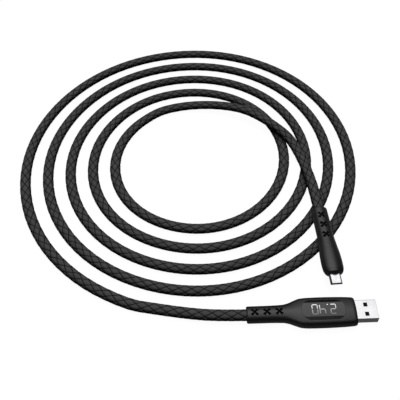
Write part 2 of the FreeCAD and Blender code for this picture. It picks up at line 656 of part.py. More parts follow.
def shell_profile(body, name, height, inset):
    """A Micro-B shell's section: wide underneath, with bevelled upper sides."""
    half_wide = size("micro_shell_wide") / 2 - inset
    half_narrow = size("micro_shell_narrow") / 2 - inset * BEVEL_SHARE
    bottom = -size("micro_shell_tall") / 2 + inset
    top = size("micro_shell_tall") / 2 - inset
    step = bottom + size("micro_shell_step") - inset * BEVEL_SHARE
    corners = (Vector(-half_wide, bottom, 0), Vector(half_wide, bottom, 0),
               Vector(half_wide, step, 0), Vector(half_narrow, top, 0),
               Vector(-half_narrow, top, 0), Vector(-half_wide, step, 0))
    sketch = new_sketch(body, name, "YZ_Plane", height)
    for index, corner in enumerate(corners):
        sketch.addGeometry(Part.LineSegment(corner, corners[(index + 1) % len(corners)]), False)
        sketch.addConstraint(Sketcher.Constraint("Block", index))
    return sketch


def micro_overmould():
    body = overmould("micro", MICRO_STATIONS, "micro_overmould")
    channel = rounded_box_sketch(body, "micro_channel", "YZ_Plane", "micro_bore",
                                 "micro_channel_wide", "micro_channel_tall", "channel_round")
    add_feature(body, "Pocket", "micro_channel_cut", channel, "micro_core_rear - micro_bore + 1", True)
    seat = rounded_box_sketch(body, "micro_core_seat", "YZ_Plane", "micro_core_rear",
                              "micro_core_wide", "micro_core_tall", "micro_core_round")
    add_feature(body, "Pocket", "micro_core_cut", seat, "micro_core_front - micro_core_rear", True)
    mouth = shell_profile(body, "micro_mouth", "micro_core_front - 1", -size("gap"))
    add_feature(body, "Pocket", "micro_mouth_cut", mouth, "micro_front - micro_core_front + 2", True)
    on_micro(body)


def micro_core():
    body = new_body("micro_core")
    outline = rounded_box_sketch(body, "micro_core_outline", "YZ_Plane", "micro_core_rear + gap",
                                 "micro_core_wide - 2 * gap", "micro_core_tall - 2 * gap",
                                 "micro_core_round - gap")
    add_feature(body, "Pad", "micro_core_pad", outline,
                "micro_core_front - micro_core_rear - 2 * gap")
    socket = shell_profile(body, "micro_socket", "micro_shell_rear - gap", -size("gap"))
    add_feature(body, "Pocket", "micro_socket_cut", socket, "micro_tip - micro_shell_rear", True)
    room = rounded_box_sketch(body, "micro_wire_room", "YZ_Plane", "micro_core_rear",
                              "micro_channel_wide", "micro_room_tall", "micro_room_round")
    add_feature(body, "Pocket", "micro_wire_cut", room, "micro_shell_rear - micro_core_rear", True)
    on_micro(body)


def micro_connector():
    body = new_body("micro_shell")
    outline = shell_profile(body, "micro_shell_outline", "micro_shell_rear", 0.0)
    add_feature(body, "Pad", "micro_shell_pad", outline, "micro_tip - micro_shell_rear")
    hollow = shell_profile(body, "micro_shell_hollow", "micro_shell_rear", size("micro_shell_wall"))
    add_feature(body, "Pocket", "micro_shell_cut", hollow, "micro_tip - micro_shell_rear", True)
    for side, name in ((-1, "latch_slot_near"), (1, "latch_slot_far")):
        sketch = new_sketch(body, name, "XY_Plane", "-micro_shell_tall")
        margin = size("latch_slot_gap")
        middle = Vector(size("latch_hook_at") + size("latch_hook_long") / 2,
                        side * size("latch_out"), 0)
        half_x = size("latch_hook_long") / 2 + margin
        half_y = size("latch_wide") / 2 + margin
        corners = [middle + Vector(x * half_x, y * half_y, 0)
                   for x, y in ((-1, -1), (1, -1), (1, 1), (-1, 1))]
        for index, corner in enumerate(corners):
            sketch.addGeometry(Part.LineSegment(corner, corners[(index + 1) % 4]), False)
            sketch.addConstraint(Sketcher.Constraint("Block", index))
        add_feature(body, "Pocket", name + "_cut", sketch, "micro_shell_tall", True)
    on_micro(body)

    ceiling = "micro_shell_tall / 2 - micro_shell_wall - gap"
    slab = box("micro_slab", "micro_shell_rear + gap", "micro_tip - micro_tongue_set_back",
               "micro_tongue_wide", "micro_tongue_low", ceiling)
    on_micro(group("micro_tongue", slab))
    heel = box("micro_heel", "micro_shell_rear + gap", "latch_pivot_at - latch_slot_gap",
               "micro_heel_wide", "-micro_shell_tall / 2 + micro_shell_wall + gap",
               "micro_tongue_low - micro_contact_thick - gap")
    on_micro(group("micro_heel_block", heel))
    contacts = [box("micro_contact_%d" % count, "micro_shell_rear - micro_contact_tail",
                    "micro_tip - micro_contact_set_back", "micro_contact_wide",
                    "micro_tongue_low - micro_contact_thick", "micro_tongue_low",
                    "%s * micro_contact_pitch" % (count - 2)) for count in range(5)]
    on_micro(group("micro_contacts", *contacts))


def micro_latch(name, side):
    """A spring arm with a hook that stands out through the shell's wide side."""
    bottom = "-micro_shell_tall / 2 + micro_shell_wall + latch_clear"
    middle = "%d * latch_out" % side
    arm = box(name + "_arm", "latch_pivot_at", "latch_hook_at + latch_hook_long", "latch_wide",
              bottom, bottom + " + latch_thick", middle)
    hook = box(name + "_hook", "latch_hook_at", "latch_hook_at + latch_hook_long", "latch_wide",
               "-micro_shell_tall / 2 - latch_hook_tall", bottom, middle)
    fused = doc.addObject("Part::MultiFuse", name)
    fused.Label = name
    fused.Shapes = [arm, hook]
    on_micro(fused)


def micro_cord_end():
    on_micro(group("jacket_end_micro", oval_rod("jacket_b", "0", "micro_bore",
                                                "cord_wide", "cord_tall")))
    crimp("cord_clamp_micro", "micro_clamp_at", on_micro)
    for count, colour in enumerate(("red", "white", "green", "black")):
        bar = rod("lead_b_" + colour, "wire_round - gap", "micro_bore",
                  "micro_shell_rear - micro_wire_gap", "%s * wire_pitch" % (count - 1.5),
                  "-micro_wire_drop")
        on_micro(group("wire_%s_micro" % colour, bar))


# ---- cord -------------------------------------------------------------------------------------

def bump(name, turned):
    """A smooth bump in the coil's outline, from its middle angle to its reach on both sides."""
    off = abs((turned - size(name + "_at") + 180) % 360 - 180)
    reach = size(name + "_reach")
    return size(name) * (1 + math.cos(math.pi * off / reach)) / 2 if off < reach else 0.0


def coil_radius(turned):
    """Radius of the cord's middle line at an angle in degrees; it shrinks as it winds inwards."""
    low = max(0.0, -math.sin(math.radians(turned))) ** 2
    pitch = size("coil_pitch") + size("coil_lift") * low
    shape = bump("coil_swell", turned) - bump("coil_dent", turned) - bump("coil_tuck", turned)
    return size("coil_radius") + pitch * (turned + 90) / 360 + shape


def coil_point(turned, offset=0.0):
    angle = math.radians(turned)
    radius = coil_radius(turned) + offset
    return Vector(size("coil_x") + radius * math.cos(angle),
                  size("coil_y") + radius * math.sin(angle), 0)


CURVE_STEPS = 36


def coil_curve(first, last, offset):
    """The middle line, moved sideways, as one smooth edge from angle to angle."""
    points = [coil_point(first + (last - first) * step / CURVE_STEPS, offset)
              for step in range(CURVE_STEPS + 1)]
    curve = Part.BSplineCurve()
    curve.interpolate(points)
    return curve.toShape()


def cord_coil():
    """The laid-out coil as one flat ring: its outer turn, its inner turn and two radial steps."""
    half = size("cord_wide") / 2
    first = size("coil_first")
    last = size("coil_last")
    outer = coil_curve(first, first - 360, half)
    inner = coil_curve(last + 360, last, -half)
    outer_step = Part.LineSegment(coil_point(first - 360, half), coil_point(first, half)).toShape()
    inner_step = Part.LineSegment(coil_point(last, -half), coil_point(last + 360, -half)).toShape()
    rim = Part.Face(Part.Wire([outer, outer_step]))
    hole = Part.Face(Part.Wire([inner, inner_step]))
    ring = rim.cut(hole).Faces[0].extrude(Vector(0, 0, size("cord_tall")))
    feature = doc.addObject("Part::Feature", "cord_coil")
    feature.Label = "cord_coil"
    feature.Shape = ring
    feature.Placement = Placement(Vector(0, 0, 0), Rotation())
    nodes.append(feature)


CORNER_SHARE = 0.45         # of a run's length, taken up by the arc at each of its ends
RUN_OUT = 16.0              # straight on from the coil's outer end
RUN_IN = 11.5               # straight on from the coil's inner end
PLUG_RUN = 10.5             # straight on from the micro plug's rear face


def cord_path(points):
    """Straight runs joined by tangent arcs, each as large as its two runs allow."""
    edges = []
    start = points[0]
    for before, corner, after in zip(points, points[1:], points[2:]):
        back = (before - corner).normalize()
        ahead = (after - corner).normalize()
        half_turn = (math.pi - back.getAngle(ahead)) / 2
        tangent = CORNER_SHARE * min((corner - before).Length, (after - corner).Length)
        radius = tangent / math.tan(half_turn)
        print("bend radius %.1f mm, turn %.1f degrees" % (radius, 2 * math.degrees(half_turn)))
        arc_start = corner + back * tangent
        arc_end = corner + ahead * tangent
        centre_way = (back + ahead).normalize()
        centre = corner + centre_way * (radius / math.cos(half_turn))
        middle = centre - centre_way * radius
        edges.append(Part.LineSegment(start, arc_start).toShape())
        edges.append(Part.Arc(arc_start, middle, arc_end).toShape())
        start = arc_end
    edges.append(Part.LineSegment(start, points[-1]).toShape())
    return Part.Wire(edges)


def cord_tube(name, points):
    """The cord's oval section along a route, kept flat."""
    path = cord_path(points)
    ahead = (points[1] - points[0]).normalize()
    across = Vector(0, 0, 1).cross(ahead).normalize()
    upward = ahead.cross(across)
    ellipse = Part.Ellipse(points[0] + across * (size("cord_wide") / 2),
                           points[0] + upward * (size("cord_tall") / 2), points[0])
    pipe = Part.BRepOffsetAPI.MakePipeShell(path)
    pipe.setBiNormalMode(Vector(0, 0, 1))
    pipe.add(Part.Wire([ellipse.toShape()]))
    pipe.build()
    pipe.makeSolid()
    solid = pipe.shape()
    expected = math.pi * size("cord_wide") * size("cord_tall") / 4 * path.Length
    print("%s: length %.1f mm, volume %.1f, section x length %.1f"
          % (name, path.Length, solid.Volume, expected))
    feature = doc.addObject("Part::Feature", name)
    feature.Label = name
    feature.Shape = solid
    feature.Placement = Placement(Vector(0, 0, 0), Rotation())
    nodes.append(feature)


def cord():
    half = size("cord_tall") / 2
    cord_coil()
    start = coil_point(size("coil_first")) + Vector(0, 0, half)
    turned = math.radians(size("coil_first"))
    ahead = Vector(-math.sin(turned), math.cos(turned), 0)
    lead = [
        start,
        start + ahead * RUN_OUT,
        Vector(-71.0, 2.6, 2.3),
        Vector(-53.5, 0, size("meter_high")),
        Vector(-size("meter_tip") / 2, 0, size("meter_high")),
    ]
    cord_tube("cord_lead", lead)
    start = coil_point(size("coil_last")) + Vector(0, 0, half)
    turned = math.radians(size("coil_last"))
    ahead = Vector(math.sin(turned), -math.cos(turned), 0)
    plug = Vector(size("micro_x"), size("micro_y"), size("micro_high"))
    turned = math.radians(size("micro_turn"))
    plug_way = Vector(math.cos(turned), math.sin(turned), 0)
    crossing = [
        start,
        start + ahead * RUN_IN,
        Vector(-68.0, 170.4, 2.6),
        Vector(-53.5, 170.2, 3.7),
        Vector(-39.4, 167.1, 5.4),
        Vector(-25.6, 161.4, 7.0),
        Vector(-14.85, 153.6, 7.25),
        Vector(-4.9, 143.4, 7.25),
        Vector(3.55, 132.1, 7.25),
        Vector(9.3, 114.0, 7.25),
        Vector(12.6, 94.2, 7.25),
        plug - plug_way * PLUG_RUN,
        plug,
    ]
    cord_tube("cord_crossing", crossing)


# ---- build, check, write ----------------------------------------------------------------------

meter_overmould()
core_half("core_upper", True)
core_half("core_lower", False)
display_lens()
display()
meter_electronics()
usb_a_connector()
meter_cord_end()
micro_overmould()
micro_core()
micro_connector()
micro_latch("micro_latch_near", -1)
micro_latch("micro_latch_far", 1)
micro_cord_end()
cord()
doc.recompute()

for item in doc.Objects:
    if "Invalid" in item.State or "Error" in item.State:
        raise RuntimeError("%s failed: %s" % (item.Name, item.State))
for node in nodes:
    if node.Shape.isNull() or not node.Shape.isValid():
        raise RuntimeError(node.Label + " has no valid shape")

os.makedirs("parts", exist_ok=True)
for node in nodes:
    node.Shape.exportStep("parts/%s.step" % node.Label)
    bounds = node.Shape.BoundBox
    print("%-20s %2d solid(s) volume %9.2f  x %7.2f %7.2f  y %7.2f %7.2f  z %6.2f %6.2f" % (
        node.Label, len(node.Shape.Solids), node.Shape.Volume, bounds.XMin, bounds.XMax,
        bounds.YMin, bounds.YMax, bounds.ZMin, bounds.ZMax))
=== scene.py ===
import json
import math

import bmesh
import bpy
import numpy as np
from mathutils import Euler, Matrix, Vector


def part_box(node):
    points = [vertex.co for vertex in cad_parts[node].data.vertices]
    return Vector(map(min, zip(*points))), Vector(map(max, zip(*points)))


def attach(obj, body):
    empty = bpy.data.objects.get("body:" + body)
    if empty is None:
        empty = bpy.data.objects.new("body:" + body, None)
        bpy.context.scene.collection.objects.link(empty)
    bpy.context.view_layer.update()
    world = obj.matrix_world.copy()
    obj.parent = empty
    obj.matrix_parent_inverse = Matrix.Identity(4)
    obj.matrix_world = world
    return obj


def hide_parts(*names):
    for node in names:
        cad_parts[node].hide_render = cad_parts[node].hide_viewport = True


# The looks of a charging cable with a current meter in its USB-A plug, in metres, in the CAD frame.
# Each plug has a frame of its own: its x counts from the rear face of its strain relief, along the
# plug, and its z counts from the plug's axis.

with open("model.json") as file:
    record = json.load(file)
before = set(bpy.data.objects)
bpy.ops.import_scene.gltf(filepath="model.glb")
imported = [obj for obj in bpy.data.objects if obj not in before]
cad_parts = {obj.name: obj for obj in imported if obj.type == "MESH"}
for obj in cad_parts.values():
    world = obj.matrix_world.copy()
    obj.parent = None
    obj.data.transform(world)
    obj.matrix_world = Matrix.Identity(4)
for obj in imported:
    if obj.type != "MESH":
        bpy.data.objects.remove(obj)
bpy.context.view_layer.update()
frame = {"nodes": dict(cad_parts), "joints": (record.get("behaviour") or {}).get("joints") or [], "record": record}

MM = 0.001
CABLE = "cable"
CORD_WIDE = 0.0070
CORD_TALL = 0.0048
SIDE_ROUND = 0.375          # radius of a plug's rounded side, as a share of its thickness


# ---- plug frames ------------------------------------------------------------------------------

METER_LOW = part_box("meter_overmould")[0]
SHELL_LOW, SHELL_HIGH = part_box("usb_a_shell")
METER_AXIS = (SHELL_LOW.z + SHELL_HIGH.z) / 2
METER_PLACE = Matrix.Translation((METER_LOW.x, 0, METER_AXIS))
METER_TIP = SHELL_HIGH.x - METER_LOW.x
METER_SHELL_REAR = SHELL_LOW.x - METER_LOW.x

MICRO_REAR = Vector((0.01385, 0.0690, 0.0083))
LATCH_AXIS = Vector(frame["joints"][0]["axis"])
MICRO_WAY = Vector((-LATCH_AXIS.y, LATCH_AXIS.x, 0))
MICRO_PLACE = Matrix.Translation(MICRO_REAR) @ Matrix.Rotation(
    math.atan2(MICRO_WAY.y, MICRO_WAY.x), 4, "Z")


# ---- mesh helpers -----------------------------------------------------------------------------

def new_piece(name, bm, material, body=CABLE, place=None, sharp=35):
    """A finished piece from a bmesh: placed, shaded, riding on its body."""
    bmesh.ops.recalc_face_normals(bm, faces=bm.faces[:])
    if place is not None:
        bm.transform(place)
    mesh = bpy.data.meshes.new(name)
    bm.to_mesh(mesh)
    bm.free()
    mesh.shade_smooth()
    mesh.set_sharp_from_angle(angle=math.radians(sharp))
    piece = bpy.data.objects.new(name, mesh)
    bpy.context.scene.collection.objects.link(piece)
    mesh.materials.append(material)
    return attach(piece, body)


def apply_modifiers(piece):
    """Bake a piece's modifiers into its mesh."""
    graph = bpy.context.evaluated_depsgraph_get()
    mesh = bpy.data.meshes.new_from_object(piece.evaluated_get(graph))
    piece.modifiers.clear()
    piece.data = mesh


def carve(piece, cutters, place, inner=None):
    """Cut closed bmeshes, given in a plug's own frame, out of a piece; inner is for the cut faces."""
    if inner is not None:
        piece.data.materials.append(inner)
    tools = []
    for cutter in cutters:
        bmesh.ops.recalc_face_normals(cutter, faces=cutter.faces[:])
        cutter.transform(place)
        for face in cutter.faces:
            face.material_index = len(piece.data.materials) - 1
        mesh = bpy.data.meshes.new("cutter")
        cutter.to_mesh(mesh)
        cutter.free()
        for material in piece.data.materials:
            mesh.materials.append(material)
        tool = bpy.data.objects.new("cutter", mesh)
        bpy.context.scene.collection.objects.link(tool)
        modifier = piece.modifiers.new("cut", "BOOLEAN")
        modifier.operation = "DIFFERENCE"
        modifier.solver = "EXACT"
        modifier.object = tool
        tools.append(tool)
    apply_modifiers(piece)
    for tool in tools:
        bpy.data.objects.remove(tool)


def soften(piece, width, sharp=35, steps=2):
    """Round the sharp edges of a piece, and keep its flat faces flat in shading."""
    piece.data.shade_smooth()
    marked = piece.data.attributes.get("sharp_edge")
    if marked is not None:
        piece.data.attributes.remove(marked)
    modifier = piece.modifiers.new("edge", "BEVEL")
    modifier.width = width
    modifier.segments = steps
    modifier.limit_method = "ANGLE"
    modifier.angle_limit = math.radians(sharp)
    modifier.use_clamp_overlap = True
    normals = piece.modifiers.new("normals", "WEIGHTED_NORMAL")
    normals.weight = 100
    apply_modifiers(piece)


def prism(points, low, high):
    """A closed solid from an outline of (x, y), from one z to another."""
    bm = bmesh.new()
    floor = bm.faces.new([bm.verts.new((x, y, low)) for x, y in points])
    top = bmesh.ops.extrude_face_region(bm, geom=[floor])
    moved = [item for item in top["geom"] if isinstance(item, bmesh.types.BMVert)]
    bmesh.ops.translate(bm, verts=moved, vec=(0, 0, high - low))
    return bm


def rounded(corners, radius, steps=6):
    """The outline of a convex polygon, anticlockwise, with its corners rounded."""
    points = []
    for index, corner in enumerate(corners):
        here = Vector(corner)
        back = (Vector(corners[index - 1]) - here).normalized()
        ahead = (Vector(corners[(index + 1) % len(corners)]) - here).normalized()
        half = back.angle(ahead) / 2
        centre = here + (back + ahead).normalized() * (radius / math.sin(half))
        start = here + back * (radius / math.tan(half)) - centre
        end = here + ahead * (radius / math.tan(half)) - centre
        turn = start.angle(end)
        for step in range(steps + 1):
            share = step / steps
            mixed = (start * math.sin((1 - share) * turn) + end * math.sin(share * turn))
            points.append(centre + mixed / math.sin(turn))
    return points


def rectangle(wide, tall, middle=0.0):
    return [(middle - wide / 2, -tall / 2), (middle + wide / 2, -tall / 2),
            (middle + wide / 2, tall / 2), (middle - wide / 2, tall / 2)]


def inset(corners, distance):
    """A convex polygon, anticlockwise, moved inwards all round."""
    moved = []
    for index, corner in enumerate(corners):
        here = Vector(corner)
        back = (here - Vector(corners[index - 1])).normalized()
        ahead = (Vector(corners[(index + 1) % len(corners)]) - here).normalized()
        inward = Vector((-back.y - ahead.y, back.x + ahead.x)).normalized()
        share = inward.dot(Vector((-ahead.y, ahead.x)))
        moved.append(here + inward * (distance / share))
    return moved


def skin(bm, rings, closed_ends=True):
    """Quads between rings of vertices, and a face at each end."""
    for ring, following in zip(rings, rings[1:]):
        for index in range(len(ring)):
            after = (index + 1) % len(ring)
            bm.faces.new((ring[index], ring[after], following[after], following[index]))
    if closed_ends:
        bm.faces.new(rings[0])
        bm.faces.new(rings[-1])


# ---- materials --------------------------------------------------------------------------------

class Look:
    """A material with one Principled shader, and short ways to add nodes to it."""

    def __init__(self, name, colour, roughness, **sockets):
        self.material = bpy.data.materials.new(name)
        self.material.use_nodes = True
        self.tree = self.material.node_tree
        self.shader = self.tree.nodes["Principled BSDF"]
        self.shader.inputs["Base Color"].default_value = (*colour, 1)
        self.shader.inputs["Roughness"].default_value = roughness
        for socket, value in sockets.items():
            self.shader.inputs[socket.replace("_", " ")].default_value = value

    def add(self, kind, settings=None, **links):
        """A node; links give each input a value or another node's output."""
        node = self.tree.nodes.new("ShaderNode" + kind)
        for name, value in (settings or {}).items():
            setattr(node, name, value)
        for name, value in links.items():
            key = int(name[1:]) if name[0] == "i" and name[1:].isdigit() else name.replace("_", " ")
            socket = node.inputs[key]
            if isinstance(value, bpy.types.NodeSocket):
                self.tree.links.new(value, socket)
            else:
                socket.default_value = value
        return node

    def math(self, operation, first, second=0.0, third=0.0):
        settings = {"operation": operation}
        return self.add("Math", settings, i0=first, i1=second, i2=third).outputs[0]

    def place(self):
        return self.add("TexCoord").outputs["Object"]

    def noise(self, scale, detail=3.0, vector=None):
        vector = vector or self.place()
        node = self.add("TexNoise", Vector=vector, Scale=scale, Detail=detail)
        return node.outputs["Fac"]

    def ramp(self, factor, *stops):
        """Colours or greys between positions."""
        node = self.add("ValToRGB", Fac=factor)
        elements = node.color_ramp.elements
        while len(elements) < len(stops):
            elements.new(0.5)
        for element, (position, colour) in zip(elements, stops):
            element.position = position
            if isinstance(colour, (int, float)):
                colour = (colour, colour, colour)
            element.color = (*colour, 1)
        return node.outputs["Color"]

    def multiply(self, first, second):
        settings = {"data_type": "RGBA", "blend_type": "MULTIPLY"}
        return self.add("Mix", settings, i0=1.0, i6=first, i7=second).outputs[2]

    def shade_by_slope(self, *stops):
        """Painted shading: greys by how far a surface faces up, from 0 on its sides to 1 on its top."""
        up = self.add("SeparateXYZ", Vector=self.add("NewGeometry").outputs["Normal"]).outputs["Z"]
        return self.ramp(up, *stops)

    def bump(self, height, strength, distance):
        node = self.add("Bump", Height=height, Strength=strength, Distance=distance)
        self.feed("Normal", node.outputs["Normal"])

    def feed(self, socket, output):
        self.tree.links.new(output, self.shader.inputs[socket])


def moulded(name, colour, roughness, grain=2600.0, depth=0.000012, **sockets):
    """A moulded plastic or rubber with a fine spark-eroded grain."""
    look = Look(name, colour, roughness, **sockets)
    fine = look.noise(grain, 2.0)
    broad = look.noise(110.0, 4.0)
    darker = tuple(0.86 * channel for channel in colour)
    lighter = tuple(1.12 * channel for channel in colour)
    look.feed("Base Color", look.ramp(broad, (0.3, darker), (0.7, lighter)))
    look.feed("Roughness", look.math("MULTIPLY_ADD", fine, 0.16, roughness - 0.08))
    look.bump(fine, 0.5, depth)
    return look.material


def metal(name, colour, roughness, scratch=0.06, **sockets):
    """A plated sheet metal with fine drawing lines along x."""
    look = Look(name, colour, roughness, Metallic=1.0, **sockets)
    stretched = look.add("Mapping", Vector=look.place(), Scale=(300.0, 9000.0, 9000.0))
    lines = look.noise(1.0, 3.0, stretched.outputs["Vector"])
    cloud = look.noise(260.0, 4.0)
    look.feed("Roughness", look.math("MULTIPLY_ADD", lines, scratch, roughness - scratch / 2))
    duller = tuple(0.93 * channel for channel in colour)
    look.feed("Base Color", look.ramp(cloud, (0.35, duller), (0.65, colour)))
    look.bump(lines, 0.25, 0.000004)
    return look.material


YARNS = 14                  # side by side in one band of the plait
EVEN_SHIFT = 4000.0         # an even number that keeps the count of cells above zero


def jacket_look():
    """Wide flat bands plaited over and under, of fine parallel yarns, with painted shade in the gaps and down the
    cord's sides.
    """
    look = Look("cord_jacket_look", (0.06, 0.06, 0.062), 0.62, Specular_IOR_Level=0.12)
    plait = look.add("UVMap", {"uv_map": "plait"})
    along = look.add("SeparateXYZ", Vector=plait.outputs["UV"])
    first = along.outputs["X"]
    second = along.outputs["Y"]
    cell = look.math("ADD", look.math("FLOOR", first), look.math("FLOOR", second))
    over = look.math("MODULO", look.math("ADD", cell, EVEN_SHIFT), 2.0)
    upper = look.add("Mix", {"data_type": "FLOAT"}, Factor=over, A=first, B=second)
    across = upper.outputs["Result"]
    yarns = look.math("SINE", look.math("MULTIPLY", across, YARNS * 2 * math.pi))
    fuzz = look.noise(2400.0, 3.0)
    height = look.math("MULTIPLY_ADD", fuzz, 0.7, look.math("MULTIPLY", yarns, 0.5))
    look.bump(height, 0.55, 0.00002)
    relief = look.add("Attribute", {"attribute_name": "relief"}).outputs["Fac"]
    # Painted shade: the gaps between the bands are far darker than the bands' tops.
    tone = look.ramp(relief, (0.0, 0.006), (0.35, 0.011), (0.62, 0.075), (1.0, 0.09))
    blotch = look.ramp(look.noise(500.0, 4.0), (0.3, 0.86), (0.7, 1.1))
    # Painted shade: the cord's sides darker than its top, whatever the light.
    shade = look.shade_by_slope((0.0, 0.05), (0.4, 0.1), (0.62, 0.28), (0.82, 0.8), (0.96, 1.0))
    look.feed("Base Color", look.multiply(look.multiply(tone, blotch), shade))
    worn = look.math("MULTIPLY_ADD", relief, -0.35, 0.85)
    look.feed("Roughness", look.math("MULTIPLY_ADD", fuzz, 0.14, worn))
    return look.material


def overmould_look():
    """A soft black housing, darkest where it faces up, with painted light greying its sides."""
    look = Look("soft_overmould_look", (0.0085, 0.0085, 0.0088), 0.34, Specular_IOR_Level=0.5)
    broad = look.ramp(look.noise(110.0, 4.0), (0.3, 0.86), (0.7, 1.12))
    # Painted light: the sides get a lighter grey than the top, whatever the light.
    painted_side_light = look.shade_by_slope((0.0, 0.045), (0.4, 0.04), (0.7, 0.01), (1.0, 0.0085))
    look.feed("Base Color", look.multiply(broad, painted_side_light))
    fine = look.noise(2600.0, 2.0)
    look.feed("Roughness", look.math("MULTIPLY_ADD", fine, 0.16, 0.26))
    look.bump(fine, 0.5, 0.000012)
    return look.material


def lens_look():
    """A smoked, polished window, with painted light and shade across it."""
    look = Look("smoked_lens_look", (0.03, 0.03, 0.031), 0.26, Coat_Weight=0.2,
                Coat_Roughness=0.08, Specular_IOR_Level=0.3)
    where = look.add("SeparateXYZ", Vector=look.place()).outputs["Y"]
    share = look.math("MULTIPLY_ADD", where, 1 / (WINDOW_WIDE * MM), 0.5)
    # The smoked glass's dark tone with painted light and shade: a lighter band along the near edge, the flat top
    # brightening towards the far edge, and a nearly black painted shadow along the far edge.
    smoke_with_painted_light = look.ramp(share, (0.14, 0.02), (0.17, 0.012), (0.83, 0.03), (0.86, 0.003))
    haze = look.ramp(look.noise(90.0, 3.0), (0.3, 0.9), (0.7, 1.0))
    look.feed("Base Color", look.multiply(smoke_with_painted_light, haze))
    look.feed("Roughness", look.math("MULTIPLY_ADD", look.noise(1500.0), 0.05, 0.24))
    look.bump(look.noise(70.0, 1.0), 0.08, 0.00002)
    return look.material


def glow_look():
    """Lit segments, with painted light on them: white at the far edge of the display, fading towards the near one.
    """
    look = Look("display_glow_look", (0.8, 0.82, 0.85), 0.4)
    where = look.add("SeparateXYZ", Vector=look.place()).outputs["Y"]
    share = look.math("MULTIPLY_ADD", where, 1 / (GLOW_SPAN * MM), 0.5)
    # Painted light: the glow whitens towards the far edge instead of lighting the segments evenly.
    tone = look.ramp(share, (0.0, 0.12), (0.45, 0.3), (1.0, 0.8))
    grain = look.ramp(look.noise(1800.0), (0.2, 0.9), (0.8, 1.0))
    mixed = look.multiply(tone, grain)
    look.feed("Emission Color", mixed)
    look.feed("Base Color", mixed)
    look.shader.inputs["Emission Strength"].default_value = 0.8
    return look.material


def board_look():
    """Green solder mask with fine tracks."""
    look = Look("circuit_board_look", (0.02, 0.16, 0.07), 0.35)
    tracks = look.add("TexBrick", Vector=look.place(), Scale=260.0, Mortar_Size=0.06)
    look.feed("Base Color", look.ramp(tracks.outputs["Fac"], (0.0, (0.02, 0.16, 0.07)),
                                      (1.0, (0.05, 0.28, 0.12))))
    look.bump(tracks.outputs["Fac"], 0.4, 0.00003)
    return look.material


# The display's window, in millimetres in the meter plug's frame.
WINDOW_AT = 42.35
WINDOW_LONG = 24.5
WINDOW_WIDE = 12.4
WINDOW_FLOOR = 2.9
WINDOW_ROUND = 5.6
WINDOW_STEPS = 16           # of each rounded corner
WINDOW_CUT_TOP = 6.0        # clear of the housing
GLOW_SPAN = 6.4             # across the plug, where the digits fade from white to grey

JACKET = jacket_look()
OVERMOULD = overmould_look()
LENS = lens_look()
GLOW = glow_look()
NICKEL = metal("nickel_look", (0.45, 0.45, 0.46), 0.2)
CARRIER = moulded("contact_carrier_look", (0.004, 0.004, 0.004), 0.7, Specular_IOR_Level=0.1)
# Painted shade: a near-black copy of the rubber for the inside faces of the crossed slots.
SLOT_SHADE = moulded("slot_shade_look", (0.003, 0.003, 0.003), 0.9, Specular_IOR_Level=0.1)

SLOT_LOOKS = {
    "soft_black_overmould": OVERMOULD,
    "cord_jacket": moulded("plain_jacket_look", (0.05, 0.05, 0.052), 0.6),
    "hard_black_plastic": moulded("hard_plastic_look", (0.03, 0.03, 0.03), 0.4),
    "smoked_lens": LENS,
    "display_block": moulded("display_block_look", (0.02, 0.02, 0.022), 0.5),
    "display_glow": GLOW,
    "circuit_board": board_look(),
    "chip_case": moulded("chip_case_look", (0.03, 0.03, 0.035), 0.55),
    "ceramic_tan": moulded("ceramic_look", (0.45, 0.33, 0.2), 0.5),
    "nickel_shell": NICKEL,
    "contact_carrier": CARRIER,
    "gold_contact": metal("gold_contact_look", (0.9, 0.66, 0.28), 0.22),
    "crimp_steel": metal("crimp_steel_look", (0.6, 0.6, 0.62), 0.35),
    "wire_red": moulded("wire_red_look", (0.55, 0.03, 0.03), 0.4),
    "wire_white": moulded("wire_white_look", (0.8, 0.8, 0.78), 0.4),
    "wire_green": moulded("wire_green_look", (0.03, 0.35, 0.08), 0.4),
    "wire_black": moulded("wire_black_look", (0.02, 0.02, 0.02), 0.4),
}


def dress_cad_nodes():
    """Give every carried-over CAD node the procedural look of its slot."""
    for row in frame["record"]["subparts"]:
        node = frame["nodes"][row["node"]]
        node.data.materials.clear()
        node.data.materials.append(SLOT_LOOKS[row["material_slot"]])


# ---- camera, light and floor ------------------------------------------------------------------

def make_camera():
    """Looks down at the coil from in front, a little turned."""
    pitch = math.radians(51.19)
    yaw = math.radians(2.2)
    aim = Vector((-0.0587, 0.0859, 0.0))
    distance = 0.4211
    level = math.cos(pitch)
    way = Vector((math.sin(yaw) * level, math.cos(yaw) * level, -math.sin(pitch)))
    data = bpy.data.cameras.new("camera")
    data.lens = 59.3
    data.clip_start = 0.01
    camera = bpy.data.objects.new("camera", data)
    camera.location = aim - way * distance
    camera.rotation_euler = Euler((math.pi / 2 - pitch, 0, -yaw))
    bpy.context.scene.collection.objects.link(camera)
    bpy.context.scene.camera = camera


def make_light(name, where, target, wide, power):
    data = bpy.data.lights.new(name, "AREA")
    data.shape = "DISK"
    data.size = wide
    data.energy = power
    light = bpy.data.objects.new(name, data)
    light.location = where
    light.rotation_euler = (Vector(target) - Vector(where)).to_track_quat("-Z", "Y").to_euler()
    bpy.context.scene.collection.objects.link(light)


# The sky is dark but for four patches: a broad soft box behind the object, halfway up, and the
# table's glow from in front and below and from either side. Each has the way to its middle, and
# greys by the cosine of the angle from there.
SKY_PATCHES = (
    ((0.0, 0.63, 0.777), ((0.0, 0.0), (0.6, 0.01), (0.84, 0.14), (0.95, 0.9))),
    ((0.0, -0.63, -0.777), ((0.0, 0.0), (0.4, 0.045), (0.7, 0.13), (0.95, 0.135))),
    ((-0.755, 0.63, -0.184), ((0.0, 0.0), (0.86, 0.01), (0.93, 0.2), (0.98, 0.55))),
    ((0.755, 0.63, -0.184), ((0.0, 0.0), (0.86, 0.01), (0.93, 0.12), (0.98, 0.4))),
)


